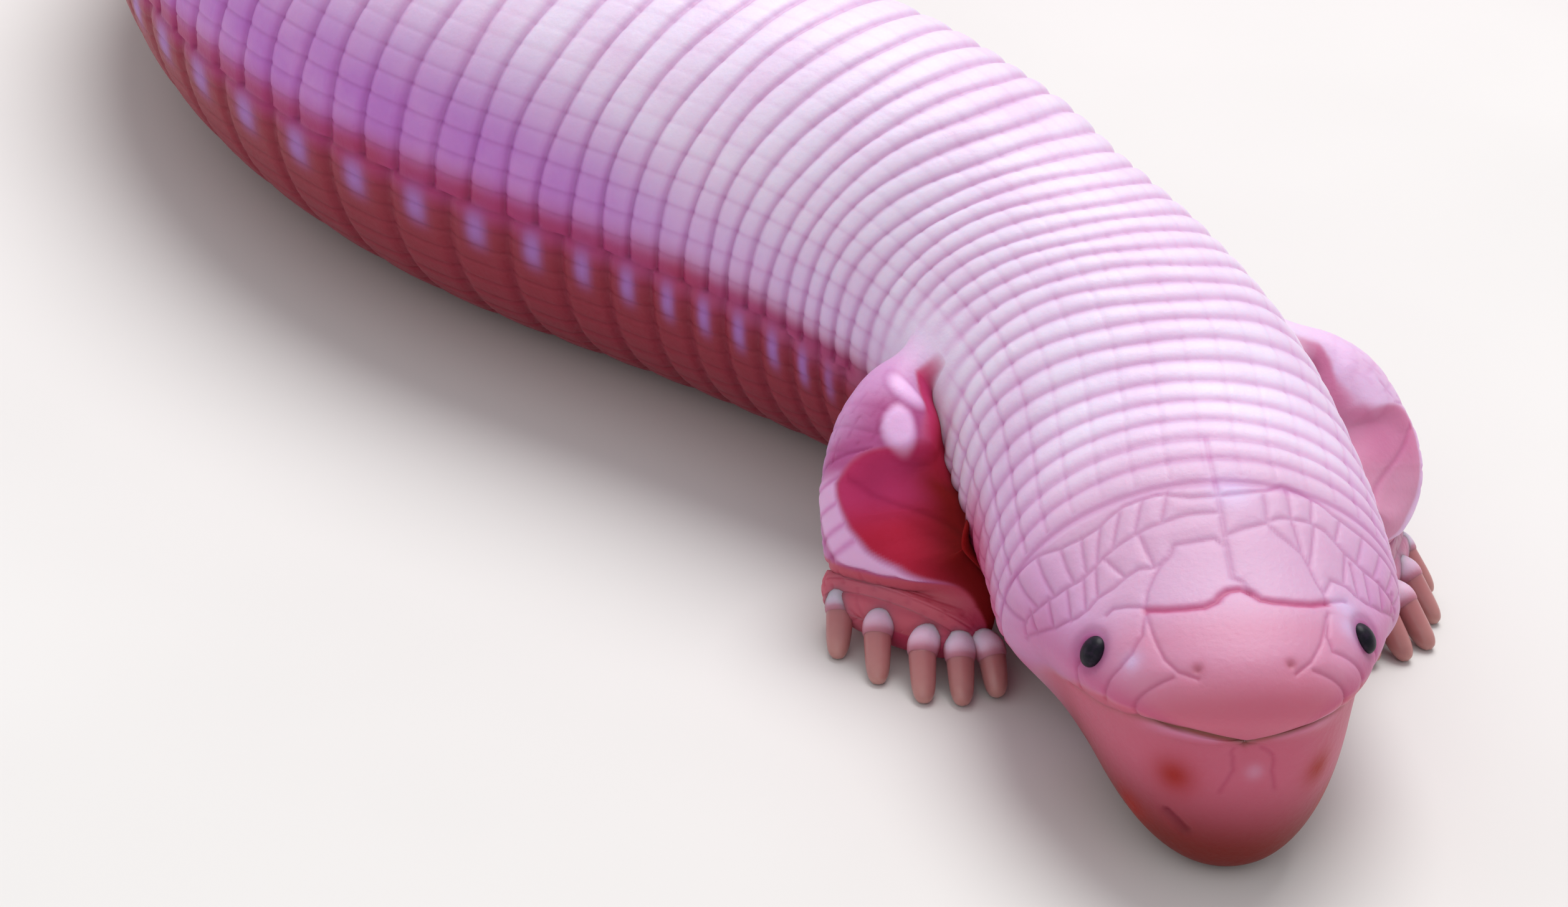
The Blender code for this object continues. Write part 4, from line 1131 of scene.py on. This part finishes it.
# The eyes: small dark balls that shine through the clear scale over them, almost flush with the
# cheek.
EYE_SIDES, EYE_ROWS = 40, 21
EYE_DEPTH = EYE_RADIUS * .68
mat, node, wire, shader = shader_parts("dark eye")
tint = paint((0.004, 0.003, 0.009), (0.020, 0.010, 0.026), stretch(noise(9000), 0.45, 0.7))
wire(tint, shader.inputs["Base Color"])
shader.inputs["Roughness"].default_value = 0.45
shader.inputs["Specular IOR Level"].default_value = 0.15
shader.inputs["Coat Weight"].default_value = 0.04
shader.inputs["Coat Roughness"].default_value = 0.10
for side, word in ((1, "right"), (-1, "left")):
    centre, out = eye_centre(side)
    turn = np.arange(EYE_SIDES) * 2 * math.pi / EYE_SIDES
    a = unit(np.cross(out, (0, 0, 1.0)))
    b = np.cross(out, a)
    lift = np.linspace(-1, 1, EYE_ROWS + 2)[1:-1] * math.pi / 2
    ball = (centre + out * (np.sin(lift)[:, None, None] * EYE_DEPTH)
            + (a * np.cos(turn)[:, None] + b * np.sin(turn)[:, None])
            * (np.cos(lift) * EYE_RADIUS)[:, None, None])
    ends = centre + np.outer((-1, 1), out) * EYE_DEPTH
    eye = mesh_object("eyeball_" + word, np.concatenate([ball.reshape(-1, 3), ends]),
                      *capped(EYE_ROWS, EYE_SIDES))
    eye.data.materials.append(mat)
    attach(eye, "root")
    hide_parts("eye_" + word)

# The claws: one short blunt claw on each toe, of clear horn that shows pink at its root. Each is
# drawn in oval rings that close to a rounded point, and is set into the end of its toe.
CLAW_ROWS, CLAW_SIDES, CLAW_LIFT = 26, 28, 0.004
mat, node, wire, shader = shader_parts("clear horn")
tint = paint((0.42, 0.15, 0.16), (0.46, 0.23, 0.21), "tipward")
tint = paint(tint, (0.38, 0.14, 0.15), stretch(noise(5000), 0.4, 0.8), 0.4)
wire(tint, shader.inputs["Base Color"])
shader.inputs["Roughness"].default_value = 0.30
shader.inputs["Subsurface Weight"].default_value = 0.6
shader.inputs["Subsurface Radius"].default_value = (1.0, 0.6, 0.5)
shader.inputs["Subsurface Scale"].default_value = 0.0003
for number, (side, toe_tip, d, across, length) in enumerate(claw_lines):
    base = toe_tip - d * .02
    mid = base + d * (length * .45 + .10)
    end = mid + unit(d + DOWN * .3) * length * .5
    end[2], mid[2] = max(end[2], .03), max(mid[2], .17)
    t = np.linspace(0, 1, CLAW_ROWS)[:, None]
    line = (1 - t) ** 2 * base + 2 * t * (1 - t) * (mid * 1.25 - (base + end) * .125) + t * t * end
    wide = (.228 * (1 - t ** 5.0) ** .5 * (1 - .20 * t) + .008)[:, 0]
    grid = oval_rings(line, across, wide * .95, wide * .9, CLAW_SIDES)[0]
    grid = limb_side(above_floor(grid, CLAW_LIFT), side)
    ends = np.stack([limb_side(base, side), limb_side(end, side)])
    word = "right" if side == 1 else "left"
    claw = mesh_object("claw_horn_%s_%d" % (word, number % 5 + 1),
                       np.concatenate([grid.reshape(-1, 3), ends]), *capped(CLAW_ROWS, CLAW_SIDES),
                       {"tipward": np.concatenate([np.repeat(t[:, 0], CLAW_SIDES), [0, 1]])})
    claw.data.materials.append(mat)
    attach(claw, "root")
    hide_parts("claw_%s_%d" % (word, number % 5 + 1))

# Studio: a pale paper floor, one broad soft light above and behind to the right, a weak fill in
# front, and the camera low before the snout, as in the photograph.
floor_mesh = bpy.data.meshes.new("floor")
floor_mesh.from_pydata([(-1.5, -1.5, 0), (1.5, -1.5, 0), (1.5, 1.5, 0), (-1.5, 1.5, 0)], [],
                       [(0, 1, 2, 3)])
floor = bpy.data.objects.new("floor", floor_mesh)
bpy.context.scene.collection.objects.link(floor)
mat, node, wire, shader = shader_parts("pale paper")
wire(paint((0.74, 0.73, 0.71), (0.70, 0.69, 0.67), stretch(noise(60), 0.3, 0.7)),
     shader.inputs["Base Color"])
shader.inputs["Roughness"].default_value = 0.9
floor_mesh.materials.append(mat)
# a hair under the belly, so that the two surfaces don't share a plane
floor.location.z = -0.00002


def soft_light(name, place_at, look_at, size, watts, colour):
    """A round soft light at one point, aimed at another."""
    lamp = bpy.data.lights.new(name, "AREA")
    lamp.shape, lamp.size, lamp.energy, lamp.color = "DISK", size, watts, colour
    obj = bpy.data.objects.new(name, lamp)
    bpy.context.scene.collection.objects.link(obj)
    obj.location = place_at
    obj.rotation_euler = (Vector(look_at) - Vector(place_at)).to_track_quat("-Z", "Y").to_euler()
    return obj


soft_light("window light", (0.02, 0.13, 0.31), (0.0, -0.02, 0), 0.26, 1.12, (1.0, 0.98, 0.98))
soft_light("front fill", (-0.10, -0.30, 0.16), (0.0, -0.04, 0), 0.25, 0.10, (1.0, 0.96, 0.94))
world = bpy.data.worlds.new("studio")
world.use_nodes = True
world.node_tree.nodes["Background"].inputs["Color"].default_value = (0.93, 0.93, 0.96, 1)
world.node_tree.nodes["Background"].inputs["Strength"].default_value = 0.62
bpy.context.scene.world = world
bpy.context.scene.view_settings.view_transform = "Standard"

# the camera looks down by PITCH, is turned a little about its own line of sight, and stands at
# CAMERA_AT, in millimetres from the floor under the widest part of the head
PITCH, TURN = math.radians(29.3), math.radians(5.2)
CAMERA_AT = (-6.4, -51.8, 33.0)
FOCAL_LENGTH = 88.71
ahead = np.array((0, math.cos(PITCH), -math.sin(PITCH)))
level = np.array((1.0, 0, 0))
upward = np.cross(level, ahead)
side_axis = level * math.cos(TURN) + upward * math.sin(TURN)
up_axis = upward * math.cos(TURN) - level * math.sin(TURN)
lens = bpy.data.cameras.new("camera")
lens.sensor_width, lens.lens, lens.clip_start, lens.clip_end = 36.0, FOCAL_LENGTH, 0.001, 10.0
camera = bpy.data.objects.new("camera", lens)
bpy.context.scene.collection.objects.link(camera)
stand = (np.array(CAMERA_AT) + shift) / 1000
camera.matrix_world = Matrix([[*axes, where] for axes, where in
                              zip(np.stack([side_axis, up_axis, -ahead], -1), stand)]
                             + [[0, 0, 0, 1]])
bpy.context.scene.camera = camera
